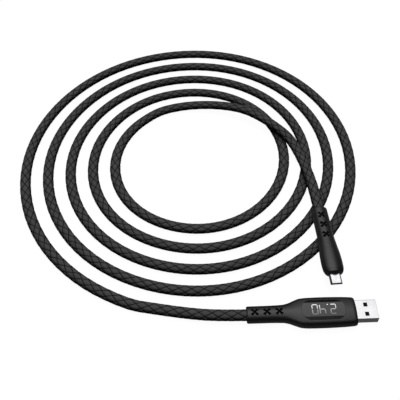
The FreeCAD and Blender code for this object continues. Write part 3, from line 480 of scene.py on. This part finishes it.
def make_sky():
    world = bpy.data.worlds.new("studio")
    world.use_nodes = True
    tree = world.node_tree
    sky = tree.nodes["Background"]
    way = tree.nodes.new("ShaderNodeTexCoord")
    total = None
    for middle_way, stops in SKY_PATCHES:
        facing = tree.nodes.new("ShaderNodeVectorMath")
        facing.operation = "DOT_PRODUCT"
        facing.inputs[1].default_value = middle_way
        ramp = tree.nodes.new("ShaderNodeValToRGB")
        elements = ramp.color_ramp.elements
        while len(elements) < len(stops):
            elements.new(0.5)
        for element, (position, grey) in zip(elements, stops):
            element.position = position
            element.color = (grey, grey, grey, 1)
        tree.links.new(way.outputs["Generated"], facing.inputs[0])
        tree.links.new(facing.outputs["Value"], ramp.inputs["Fac"])
        if total is None:
            total = ramp.outputs["Color"]
            continue
        both = tree.nodes.new("ShaderNodeVectorMath")
        both.operation = "ADD"
        tree.links.new(total, both.inputs[0])
        tree.links.new(ramp.outputs["Color"], both.inputs[1])
        total = both.outputs["Vector"]
    tree.links.new(total, sky.inputs["Color"])
    bpy.context.scene.world = world


FLOOR_FLAT = 4.0            # radius of the flat part
FLOOR_BEND = 3.0            # radius of the curve up from it
FLOOR_LEAN = 80             # degrees, the slope at the sheet's rim
FLOOR_RINGS = 12
FLOOR_TURNS = 96
FLOOR_DROP = 0.00005        # under the lowest point of the cord


def make_floor():
    """A round sheet, flat under the object, that curves up into a backdrop all round."""
    bm = bmesh.new()
    rings = []
    for step in range(FLOOR_RINGS + 1):
        lean = math.radians(FLOOR_LEAN) * step / FLOOR_RINGS
        reach = FLOOR_FLAT + FLOOR_BEND * math.sin(lean)
        height = FLOOR_BEND * (1 - math.cos(lean))
        ring = []
        for turn in range(FLOOR_TURNS):
            angle = 2 * math.pi * turn / FLOOR_TURNS
            ring.append(bm.verts.new((reach * math.cos(angle), reach * math.sin(angle), height)))
        rings.append(ring)
    bm.faces.new(rings[0])
    for lower, upper in zip(rings, rings[1:]):
        for turn in range(FLOOR_TURNS):
            after = (turn + 1) % FLOOR_TURNS
            bm.faces.new((lower[turn], lower[after], upper[after], upper[turn]))
    mesh = bpy.data.meshes.new("floor")
    bm.to_mesh(mesh)
    bm.free()
    floor = bpy.data.objects.new("floor", mesh)
    floor.location = (0, 0, -FLOOR_DROP)
    bpy.context.scene.collection.objects.link(floor)
    look = Look("floor_look", (0.1, 0.1, 0.1), 0.9, Specular_IOR_Level=0.0,
                Emission_Color=(1, 1, 1, 1), Emission_Strength=0.96)
    mesh.materials.append(look.material)
    floor.visible_glossy = False
    floor.visible_diffuse = False


LIGHT_AIM = Vector((-0.06, 0.11, 0))
LIGHT_OFFSET = Vector((0, 0.1, 1.0))
LIGHT_WIDE = 1.2
LIGHT_POWER = 5.4


def make_studio():
    make_light("overhead", LIGHT_AIM + LIGHT_OFFSET, LIGHT_AIM, LIGHT_WIDE, LIGHT_POWER)
    make_sky()
    bpy.context.scene.view_settings.view_transform = "Standard"
    make_floor()


# ---- cord -------------------------------------------------------------------------------------

COIL_MIDDLE = Vector((-0.0589, 0.1188, 0))
COIL_RADIUS = 0.1168        # at the bottom of the outermost turn
COIL_PITCH = 0.01457
COIL_LIFT = 0.00013         # how much more than the pitch the turns close in at the bottom
# Where the turns are pressed in or bulge out: by how much, the middle angle and the reach.
COIL_BUMPS = ((-0.0048, -14.2, 97.0), (0.0007, -137.0, 42.0), (-0.0006, 152.0, 45.0))
COIL_FIRST = -112.0         # degrees, where the lead joins the coil
COIL_LAST = -1672.0         # degrees, where the crossing leaves it
COIL_STEP = 15.0            # degrees between control points
CORD_HALF = CORD_TALL / 2

CORD_STRAIGHT = 0.0105      # in line with the micro plug, before it

LEAD = (
    (-0.0362, 0.0, 0.0039),
    (-0.0535, 0.0003, 0.0039),
    (-0.0710, 0.0036, 0.0024),
    (-0.0870, 0.0068, CORD_HALF),
)
CROSSING = (
    (-0.0823, 0.1668, CORD_HALF),
    (-0.0680, 0.1704, 0.0026),
    (-0.0535, 0.1702, 0.0037),
    (-0.0394, 0.1671, 0.0054),
    (-0.0256, 0.1614, 0.0070),
    (-0.01485, 0.1536, 0.00725),
    (-0.0049, 0.1434, 0.00725),
    (0.00355, 0.1321, 0.00725),
    (0.0093, 0.1140, 0.00725),
    (0.0126, 0.0942, 0.00725),
    tuple(MICRO_REAR - MICRO_WAY * CORD_STRAIGHT),
    tuple(MICRO_REAR),
)


def coil_point(turned):
    """A control point of the coil at an angle in degrees; the coil shrinks as it winds inwards."""
    angle = math.radians(turned)
    pitch = COIL_PITCH + COIL_LIFT * max(0.0, -math.sin(angle)) ** 2
    radius = COIL_RADIUS + pitch * (turned + 90) / 360
    for height, middle, reach in COIL_BUMPS:
        off = abs((turned - middle + 180) % 360 - 180)
        if off < reach:
            radius += height * (1 + math.cos(math.pi * off / reach)) / 2
    radius /= math.cos(math.radians(COIL_STEP / 2))
    across = COIL_MIDDLE.x + radius * math.cos(angle)
    away = COIL_MIDDLE.y + radius * math.sin(angle)
    return across, away, CORD_HALF


def cord_line():
    """Points read from the cord's one NURBS spline, from the meter plug to the micro plug."""
    points = list(LEAD)
    steps = round((COIL_FIRST - COIL_LAST) / COIL_STEP)
    for step in range(steps + 1):
        points.append(coil_point(COIL_FIRST - step * COIL_STEP))
    points += CROSSING
    curve = bpy.data.curves.new("cord_route", "CURVE")
    curve.dimensions = "3D"
    curve.resolution_u = 16
    spline = curve.splines.new("NURBS")
    spline.points.add(len(points) - 1)
    for target, point in zip(spline.points, points):
        target.co = (*point, 1)
    spline.order_u = 3
    spline.use_endpoint_u = True
    bare = bpy.data.objects.new("cord_route", curve)
    mesh = bpy.data.meshes.new_from_object(bare)
    line = np.array([vertex.co for vertex in mesh.vertices])
    bpy.data.objects.remove(bare)
    bpy.data.meshes.remove(mesh)
    bpy.data.curves.remove(curve)
    return line


RELIEF_BANDS = 4            # bands each way round the cord
RELIEF_PERIOD = 0.0072      # from one crossing to the next, along the cord
RELIEF_START = -0.0025      # the plait's first crossing, from the meter plug
RELIEF_DEEP = 0.00028
# Steps across one band, from gap to gap, and the band's height there.
BAND_STEPS = ((0.0, 0.0), (0.11, 0.85), (0.36, 1.0), (0.64, 1.0), (0.89, 0.85))


def oval_table(wide, tall, count=720):
    """Angle parameter of an ellipse for even shares of its perimeter, counted from its side."""
    angle = np.linspace(0, 2 * math.pi, count + 1)
    flat = np.stack([wide / 2 * np.cos(angle), tall / 2 * np.sin(angle)], 1)
    along = np.concatenate([[0], np.cumsum(np.linalg.norm(np.diff(flat, axis=0), axis=1))])
    return along / along[-1], angle


def cord_mesh(line):
    """The plaited jacket, as a grid that follows the two families of bands round the cord."""
    along = np.concatenate([[0], np.cumsum(np.linalg.norm(np.diff(line, axis=0), axis=1))])
    long = along[-1]
    tangent = np.gradient(line, along, axis=0)
    tangent /= np.linalg.norm(tangent, axis=1)[:, None]

    per = len(BAND_STEPS)
    share = np.array([step for step, height in BAND_STEPS])
    rise = np.array([height for step, height in BAND_STEPS])
    round_count = 2 * RELIEF_BANDS * per
    shift = RELIEF_BANDS * per
    first_row = -2 * per
    last_row = math.ceil(long / RELIEF_PERIOD) * per + shift + 2 * per
    row = np.arange(first_row, last_row + 1)[:, None]
    turn = np.arange(round_count)[None, :]

    def band(index):
        return index // per + share[index % per]

    one = band(row) + 0 * turn
    two = band(row - turn)
    place = RELIEF_START + RELIEF_PERIOD * (one + two) / 2
    spin = (one - two) / (2 * RELIEF_BANDS)
    height = np.minimum(rise[row % per] + 0 * turn, rise[(row - turn) % per])

    inside = np.clip(place, 0, long)
    centre = np.stack([np.interp(inside, along, line[:, k]) for k in range(3)], -1)
    ahead = np.stack([np.interp(inside, along, tangent[:, k]) for k in range(3)], -1)
    ahead /= np.linalg.norm(ahead, axis=-1)[..., None]
    centre = centre + ahead * (place - inside)[..., None]
    across = np.cross((0.0, 0.0, 1.0), ahead)
    across /= np.linalg.norm(across, axis=-1)[..., None]
    upward = np.cross(ahead, across)
    even, angles = oval_table(CORD_WIDE, CORD_TALL)
    angle = np.interp(spin % 1.0, even, angles)
    side = CORD_WIDE / 2 * np.cos(angle)
    top = CORD_TALL / 2 * np.sin(angle)
    out = np.stack([np.cos(angle) / CORD_WIDE, np.sin(angle) / CORD_TALL], -1)
    out /= np.linalg.norm(out, axis=-1)[..., None]
    sunk = RELIEF_DEEP * (1 - height)
    side = side - out[..., 0] * sunk
    top = top - out[..., 1] * sunk
    points = centre + across * side[..., None] + upward * top[..., None]

    rows = row.size
    index = np.arange(rows * round_count).reshape(rows, round_count)
    wrap_on = np.full(round_count, 0)
    wrap_on[-1] = -shift
    right = np.roll(np.arange(round_count), -1)
    left = np.roll(np.arange(round_count), 1)
    wrap_back = np.full(round_count, 0)
    wrap_back[0] = shift
    near = 2 * RELIEF_PERIOD
    base = np.arange(rows)[:, None]

    def at(rows_wanted, columns):
        safe = np.clip(rows_wanted, 0, rows - 1)
        return np.where((rows_wanted >= 0) & (rows_wanted < rows), index[safe, columns], -1)

    corners = np.stack([
        at(base + 0 * turn, turn + 0 * base),
        at(base + 1 + wrap_on[None, :], right[None, :] + 0 * base),
        at(base + 1 + 0 * turn, turn + 0 * base),
        at(base + wrap_back[None, :], left[None, :] + 0 * base),
    ], -1).reshape(-1, 4)
    flat_place = place.reshape(-1)
    good = (corners >= 0).all(1)
    held = flat_place[np.maximum(corners, 0)]
    good &= (held.min(1) > -near) & (held.max(1) < long + near)
    faces = corners[good]
    used, faces = np.unique(faces, return_inverse=True)
    faces = faces.reshape(-1, 4)

    mesh = bpy.data.meshes.new("cord")
    mesh.from_pydata(points.reshape(-1, 3)[used].tolist(), [], faces.tolist())
    relief = mesh.attributes.new("relief", "FLOAT", "POINT")
    relief.data.foreach_set("value", height.reshape(-1)[used].astype(np.float32))
    bands = mesh.uv_layers.new(name="plait")
    low_one = (np.broadcast_to(row, (rows, round_count)).reshape(-1))[corners[good][:, 0]]
    low_turn = (np.broadcast_to(turn, (rows, round_count)).reshape(-1))[corners[good][:, 0]]
    steps = ((0, 0), (1, 0), (1, 1), (0, 1))
    flat = np.stack([
        np.stack([band(low_one + a), band(low_one - low_turn + b)], -1) for a, b in steps
    ], 1)
    bands.data.foreach_set("uv", flat.reshape(-1).astype(np.float32))
    flat_place = flat_place[used]
    cut_ends(mesh, ((line[0], -tangent[0], flat_place < near),
                    (line[-1], tangent[-1], flat_place > long - near)))
    return mesh


def cut_ends(mesh, ends):
    """Trim the cord square at each end and close it there; an end says which vertices are near."""
    bm = bmesh.new()
    bm.from_mesh(mesh)
    groups = []
    for point, way, close in ends:
        verts = {vert for vert, chosen in zip(bm.verts, close) if chosen}
        faces = [face for face in bm.faces if verts.issuperset(face.verts)]
        groups.append((Vector(point), Vector(way), faces))
    for point, way, faces in groups:
        edges = {edge for face in faces for edge in face.edges}
        verts = {vert for face in faces for vert in face.verts}
        bmesh.ops.bisect_plane(bm, geom=[*faces, *edges, *verts], plane_co=point, plane_no=way,
                               clear_outer=True)
        rim = [edge for edge in bm.edges if edge.is_boundary
               and all((vert.co - point).length < CORD_WIDE for vert in edge.verts)]
        bmesh.ops.contextual_create(bm, geom=rim)
    bm.to_mesh(mesh)
    bm.free()


def make_cord():
    line = cord_line()
    mesh = cord_mesh(line)
    mesh.shade_smooth()
    mesh.materials.append(JACKET)
    piece = bpy.data.objects.new("cord", mesh)
    bpy.context.scene.collection.objects.link(piece)
    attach(piece, CABLE)
    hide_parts("cord_lead", "cord_coil", "cord_crossing")
    return piece, line


# ---- overmoulds -------------------------------------------------------------------------------

# Distance from the rear face, width and thickness, in millimetres.
METER_STATIONS = (
    (0.0, 9.3, 6.3), (0.25, 9.8, 6.7), (0.7, 10.1, 6.85), (12.0, 10.2, 6.95), (20.0, 10.7, 7.1),
    (23.2, 12.2, 7.35), (26.8, 15.3, 7.8), (30.0, 17.6, 8.2), (34.0, 18.4, 8.3), (42.0, 18.6, 8.3),
    (52.0, 18.2, 8.15), (58.8, 17.4, 7.8), (59.9, 17.0, 7.45), (60.4, 16.4, 7.0), (60.6, 15.7, 6.5),
)
MICRO_STATIONS = (
    (0.0, 8.8, 6.0), (0.25, 9.3, 6.35), (0.7, 9.6, 6.5), (11.0, 9.95, 6.65), (21.0, 10.05, 6.8),
    (29.0, 11.2, 7.2), (34.0, 12.1, 7.5), (39.0, 12.45, 7.6), (42.2, 12.35, 7.55),
    (43.8, 12.05, 7.5), (44.75, 11.65, 7.46), (45.1, 11.4, 7.2), (45.4, 11.2, 7.14),
    (45.7, 10.95, 7.24), (46.3, 10.25, 7.2), (46.5, 9.95, 7.2), (46.67, 9.65, 7.14),
    (46.82, 9.3, 6.97), (46.93, 8.95, 6.7), (46.983, 8.7, 6.46), (46.998, 8.5, 6.29),
)
# How far the face at the shell bulges, in millimetres, and the rings on it as shares of the last.
METER_BULGE = 0.25
MICRO_BULGE = 0.12
FACE_SHARES = (0.9, 0.75, 0.5)


def smooth_at(stations, column, x):
    """A smooth monotone curve through the stations."""
    places = [station[0] for station in stations]
    values = [station[column] for station in stations]
    slopes = [(values[i + 1] - values[i]) / (places[i + 1] - places[i])
              for i in range(len(places) - 1)]
    bends = [slopes[0]]
    for before, after in zip(slopes, slopes[1:]):
        bends.append(2 * before * after / (before + after) if before * after > 0 else 0.0)
    bends.append(slopes[-1])
    span = min(max(i for i, place in enumerate(places) if place <= x), len(slopes) - 1)
    width = places[span + 1] - places[span]
    share = (x - places[span]) / width
    return (values[span] * (1 + 2 * share) * (1 - share) ** 2
            + bends[span] * width * share * (1 - share) ** 2
            + values[span + 1] * share ** 2 * (3 - 2 * share)
            + bends[span + 1] * width * share ** 2 * (share - 1))


def oval_ring(wide, tall, side_steps=12, crown_steps=28):
    """Two rounded sides joined by two crowned faces, all tangent."""
    side = SIDE_ROUND * tall
    out = wide / 2 - side
    crown = (out ** 2 + tall ** 2 / 4 - side ** 2) / (tall - 2 * side)
    drop = crown - tall / 2
    lean = math.atan2(drop, out)
    arcs = (
        (out, 0.0, side, -lean, lean, side_steps),
        (0.0, -drop, crown, lean, math.pi - lean, crown_steps),
        (-out, 0.0, side, math.pi - lean, math.pi + lean, side_steps),
        (0.0, drop, crown, math.pi + lean, 2 * math.pi - lean, crown_steps),
    )
    points = []
    for y, z, radius, start, end, steps in arcs:
        for step in range(steps):
            angle = start + (end - start) * step / steps
            points.append((y + radius * math.cos(angle), z + radius * math.sin(angle)))
    return points


def station_places(stations, spacing=0.7):
    """The x of each ring: evenly spaced, and every station's own."""
    places = []
    for start, end in zip(stations, stations[1:]):
        count = max(1, round((end[0] - start[0]) / spacing))
        places += [start[0] + (end[0] - start[0]) * step / count for step in range(count)]
    return places + [stations[-1][0]]


def overmould_mesh(stations, bulge, floor=None):
    """A plug's outer body; floor is a height, counted from the axis, where it is cut flat."""
    bm = bmesh.new()
    rings = []
    for x in station_places(stations):
        wide = smooth_at(stations, 1, x)
        tall = smooth_at(stations, 2, x)
        ring = []
        for y, z in oval_ring(wide, tall):
            height = z * MM
            if floor is not None:
                height = max(height, floor)
            ring.append(bm.verts.new((x * MM, y * MM, height)))
        rings.append(ring)
    last_x, last_wide, last_tall = stations[-1]
    for share in FACE_SHARES:
        x = last_x + bulge * (1 - share ** 2)
        ring = [bm.verts.new((x * MM, y * share * MM, z * share * MM))
                for y, z in oval_ring(last_wide, last_tall)]
        rings.append(ring)
    skin(bm, rings)
    return bm


# The crossed slots of the strain reliefs, in millimetres.
MARK_COUNT = 3
MARK_ANGLE = 45.0
MARK_ARM = 2.5
MARK_THIN = 0.52            # half a stroke's width at the middle
MARK_THICK = 0.85           # half its width at the tip
# Where the first slot is, the pitch, half the plug's thickness there, and the depth.
METER_MARKS = (4.35, 6.78, 3.45, 1.0)
MICRO_MARKS = (6.3, 7.3, 3.3, 0.8)
BORE_DEEP = 20.0
EDGE_ROUND = 0.08
PAST = 1.0                  # how far a cutter stands out of what it cuts


def cross_outline(middle, arm, thin, thick):
    """A cross whose four strokes get wider outwards."""
    points = []
    for quarter in range(4):
        turn = Matrix.Rotation(math.radians(MARK_ANGLE + 90 * quarter), 2)
        for x, y in ((arm, -thick), (arm, thick), (thin, thin)):
            point = turn @ Vector((x, y))
            points.append((middle + point.x, point.y))
    return points


def cross_cutters(first, pitch, half_tall, deep):
    """Crossed slots in each broad face of a strain relief."""
    cutters = []
    for count in range(MARK_COUNT):
        outline = cross_outline((first + count * pitch) * MM, MARK_ARM * MM, MARK_THIN * MM,
                                MARK_THICK * MM)
        cutters.append(prism(outline, (half_tall - deep) * MM, (half_tall + PAST) * MM))
        cutters.append(prism(outline, -(half_tall + PAST) * MM, -(half_tall - deep) * MM))
    return cutters


def bore_cutter(turns=48):
    """The cord's way into a plug, from the rear face."""
    bm = bmesh.new()
    rings = []
    for x in (-PAST, BORE_DEEP):
        ring = []
        for step in range(turns):
            angle = 2 * math.pi * step / turns
            ring.append(bm.verts.new((x * MM, CORD_WIDE / 2 * math.cos(angle),
                                      CORD_TALL / 2 * math.sin(angle))))
        rings.append(ring)
    skin(bm, rings)
    return bm


def make_meter_overmould():
    bm = overmould_mesh(METER_STATIONS, METER_BULGE, -METER_AXIS)
    piece = new_piece("meter_housing", bm, OVERMOULD, place=METER_PLACE)
    outline = rounded(rectangle(WINDOW_LONG * MM, WINDOW_WIDE * MM, WINDOW_AT * MM),
                      WINDOW_ROUND * MM, WINDOW_STEPS)
    window = prism(outline, WINDOW_FLOOR * MM, WINDOW_CUT_TOP * MM)
    carve(piece, [bore_cutter(), window], METER_PLACE)
    carve(piece, cross_cutters(*METER_MARKS), METER_PLACE, SLOT_SHADE)
    soften(piece, EDGE_ROUND * MM)
    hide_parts("meter_overmould")


def make_micro_overmould():
    bm = overmould_mesh(MICRO_STATIONS, MICRO_BULGE)
    piece = new_piece("micro_housing", bm, OVERMOULD, place=MICRO_PLACE)
    carve(piece, [bore_cutter()], MICRO_PLACE)
    carve(piece, cross_cutters(*MICRO_MARKS), MICRO_PLACE, SLOT_SHADE)
    soften(piece, EDGE_ROUND * MM)
    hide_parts("micro_overmould")
    return piece


# ---- display ----------------------------------------------------------------------------------

# The smoked window and the lit digits on it, in millimetres.
LENS_TOP = 3.95
LENS_FLAT = 8.6             # width of the flat top
LENS_SLOPE = 0.85           # how far the sloped edges fall
LENS_GAP = 0.05             # all round, in the housing
LENS_BED = 0.03             # under it
LENS_CUT_ENDS = (20, 65)    # clear of the window at both ends
LENS_ROUND = 0.15


def make_lens():
    """The smoked window: a flat top between two long sloped edges."""
    corners = rectangle((WINDOW_LONG - 2 * LENS_GAP) * MM, (WINDOW_WIDE - 2 * LENS_GAP) * MM,
                        WINDOW_AT * MM)
    outline = rounded(corners, (WINDOW_ROUND - LENS_GAP) * MM, WINDOW_STEPS)
    bm = prism(outline, (WINDOW_FLOOR + LENS_BED) * MM, LENS_TOP * MM)
    piece = new_piece("meter_lens", bm, LENS, place=METER_PLACE)
    cutters = []
    for side in (1, -1):
        inner = LENS_FLAT / 2
        outer = WINDOW_WIDE / 2
        profile = ((side * inner, LENS_TOP), (side * outer, LENS_TOP - LENS_SLOPE),
                   (side * (outer + PAST), LENS_TOP - LENS_SLOPE),
                   (side * (outer + PAST), LENS_TOP + PAST), (side * inner, LENS_TOP + PAST))
        wedge = bmesh.new()
        rings = [[wedge.verts.new((x * MM, y * MM, z * MM)) for y, z in profile]
                 for x in LENS_CUT_ENDS]
        skin(wedge, rings)
        cutters.append(wedge)
    carve(piece, cutters, METER_PLACE)
    soften(piece, LENS_ROUND * MM, sharp=20, steps=3)
    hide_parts("display_lens")


DIGIT_TALL = 6.2
DIGIT_WIDE = 3.4
STROKE = 0.48
BAR_SHORT = 1.5 * STROKE    # how much shorter a segment is than its place
SEGMENTS = {"0": "abcdef", "2": "abged", "4": "fgbc"}
DIGITS = (("2", 5.35), ("4", -0.6), ("0", -4.8))    # with their places from the window's middle
POINT_AT = 2.43
POINT_WIDE = 0.6
GLOW_SUNK = 0.1
GLOW_PROUD = 0.03


def bar_outline(long, wide):
    """A segment with pointed ends, along x."""
    half = long / 2
    point = wide / 2
    return [(-half, 0), (point - half, -wide / 2), (half - point, -wide / 2),
            (half, 0), (half - point, wide / 2), (point - half, wide / 2)]


def make_digits():
    """Three lit digits and a point, read from the far side of the plug."""
    bm = bmesh.new()
    across = (DIGIT_WIDE - STROKE) / 2
    half = (DIGIT_TALL - STROKE) / 2
    bars = {
        "a": (0, -half, 0), "g": (0, 0, 0), "d": (0, half, 0),
        "b": (-across, -half / 2, 90), "c": (-across, half / 2, 90),
        "f": (across, -half / 2, 90), "e": (across, half / 2, 90),
    }
    low = LENS_TOP - GLOW_SUNK
    high = LENS_TOP + GLOW_PROUD

    def add_outline(points, middle_x, middle_y, turn):
        spin = Matrix.Rotation(math.radians(turn), 2)
        placed = [spin @ Vector(point) + Vector((middle_x, middle_y)) for point in points]
        solid = prism([(point.x * MM, point.y * MM) for point in placed], low * MM, high * MM)
        mesh = bpy.data.meshes.new("segment")
        solid.to_mesh(mesh)
        solid.free()
        bm.from_mesh(mesh)
        bpy.data.meshes.remove(mesh)

    for digit, middle in DIGITS:
        for letter in SEGMENTS[digit]:
            x, y, turn = bars[letter]
            long = (DIGIT_WIDE if turn == 0 else half + STROKE) - BAR_SHORT
            add_outline(bar_outline(long, STROKE), WINDOW_AT + middle + x, y, turn)
    add_outline(rectangle(POINT_WIDE, POINT_WIDE), WINDOW_AT + POINT_AT,
                (DIGIT_TALL - POINT_WIDE) / 2, 0)
    piece = new_piece("display_digits", bm, GLOW, place=METER_PLACE)
    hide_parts("display_segments")


# ---- metal shells -----------------------------------------------------------------------------

RIM_STEPS = 6
SHARPEST = 0.05             # the least radius of a fold


def sheet_tube(corners, radius, wall, rear, tip, lip):
    """A folded sheet-metal tube along x, with a rounded rim at its tip; corners are (y, z)."""
    def ring(bm, x, depth):
        points = rounded(inset(corners, depth * MM), max(radius - depth, SHARPEST) * MM)
        return [bm.verts.new((x * MM, y, z)) for y, z in points]

    bm = bmesh.new()
    rings = [ring(bm, rear, 0.0), ring(bm, tip - lip, 0.0)]
    for step in range(1, RIM_STEPS):
        angle = math.pi * step / RIM_STEPS
        rings.append(ring(bm, tip - lip + lip * math.sin(angle), wall * (1 - math.cos(angle)) / 2))
    rings += [ring(bm, tip - lip, wall), ring(bm, rear, wall)]
    rings.append(rings[0])
    skin(bm, rings, closed_ends=False)
    return bm


# In millimetres: the USB-A shell and its latch windows.
USB_A_WIDE = 12.0
USB_A_TALL = 4.5
USB_A_ROUND = 0.4
USB_A_WALL = 0.3
USB_A_LIP = 0.15
HOLE_LONG = 2.2
HOLE_WIDE = 2.5
HOLE_FROM_TIP = 6.1
HOLE_OUT = 2.9              # from the axis
HOLE_ROUND = 0.15
HOLE_REACH = 4.0            # through both broad faces
SHELL_EDGE = 0.03


def make_usb_a_shell():
    corners = rectangle(USB_A_WIDE * MM, USB_A_TALL * MM)
    tip = METER_TIP / MM
    bm = sheet_tube(corners, USB_A_ROUND, USB_A_WALL, METER_SHELL_REAR / MM, tip, USB_A_LIP)
    piece = new_piece("usb_a_shell_metal", bm, NICKEL, place=METER_PLACE)
    cutters = []
    for side in (-1, 1):
        hole = rectangle(HOLE_LONG * MM, HOLE_WIDE * MM, (tip - HOLE_FROM_TIP) * MM)
        hole = rounded([(x, y + side * HOLE_OUT * MM) for x, y in hole], HOLE_ROUND * MM, 3)
        cutters.append(prism(hole, -HOLE_REACH * MM, HOLE_REACH * MM))
    carve(piece, cutters, METER_PLACE)
    soften(piece, SHELL_EDGE * MM)
    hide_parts("usb_a_shell")


# In millimetres: the Micro-B shell and the slots for its two latch hooks.
MICRO_SHELL_REAR = 41.6
MICRO_TIP = 53.5
MICRO_PROFILE = ((-3.425, -0.9), (3.425, -0.9), (3.425, -0.15), (2.6, 0.9), (-2.6, 0.9),
                 (-3.425, -0.15))
MICRO_ROUND = 0.35
MICRO_WALL = 0.25
MICRO_LIP = 0.12
LATCH_SLOT_LONG = 1.3
LATCH_SLOT_WIDE = 0.9
LATCH_SLOT_AT = 51.65
LATCH_SLOT_OUT = 2.45       # from the axis
LATCH_SLOT_LOW = -2.0
LATCH_SLOT_HIGH = -0.3


def make_micro_shell():
    corners = [(y * MM, z * MM) for y, z in MICRO_PROFILE]
    bm = sheet_tube(corners, MICRO_ROUND, MICRO_WALL, MICRO_SHELL_REAR, MICRO_TIP, MICRO_LIP)
    piece = new_piece("micro_shell_metal", bm, NICKEL, place=MICRO_PLACE)
    cutters = []
    for side in (-1, 1):
        slot = rectangle(LATCH_SLOT_LONG * MM, LATCH_SLOT_WIDE * MM, LATCH_SLOT_AT * MM)
        slot = [(x, y + side * LATCH_SLOT_OUT * MM) for x, y in slot]
        cutters.append(prism(slot, LATCH_SLOT_LOW * MM, LATCH_SLOT_HIGH * MM))
    cutters.append(seam_cutter())
    carve(piece, cutters, MICRO_PLACE)
    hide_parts("micro_shell")
    return piece


SEAM_LINE = ((45.0, 0.0), (49.4, 0.0), (49.7, 0.45), (50.7, 0.45), (51.0, 0.0), (51.2, -0.1),
             (54.0, -0.1))
SEAM_HALF = 0.045
SEAM_LOW = 0.8
SEAM_HIGH = 1.2


def seam_cutter():
    """The dovetailed seam of the folded sheet, down the middle of its narrow side."""
    outline = [(x, y - SEAM_HALF) for x, y in SEAM_LINE]
    outline += [(x, y + SEAM_HALF) for x, y in reversed(SEAM_LINE)]
    return prism([(x * MM, y * MM) for x, y in outline], SEAM_LOW * MM, SEAM_HIGH * MM)


# ---- making it --------------------------------------------------------------------------------

make_camera()
cord_piece, cord_points = make_cord()
make_studio()
dress_cad_nodes()
make_meter_overmould()
make_lens()
make_digits()
make_usb_a_shell()
micro_housing = make_micro_overmould()
micro_shell = make_micro_shell()
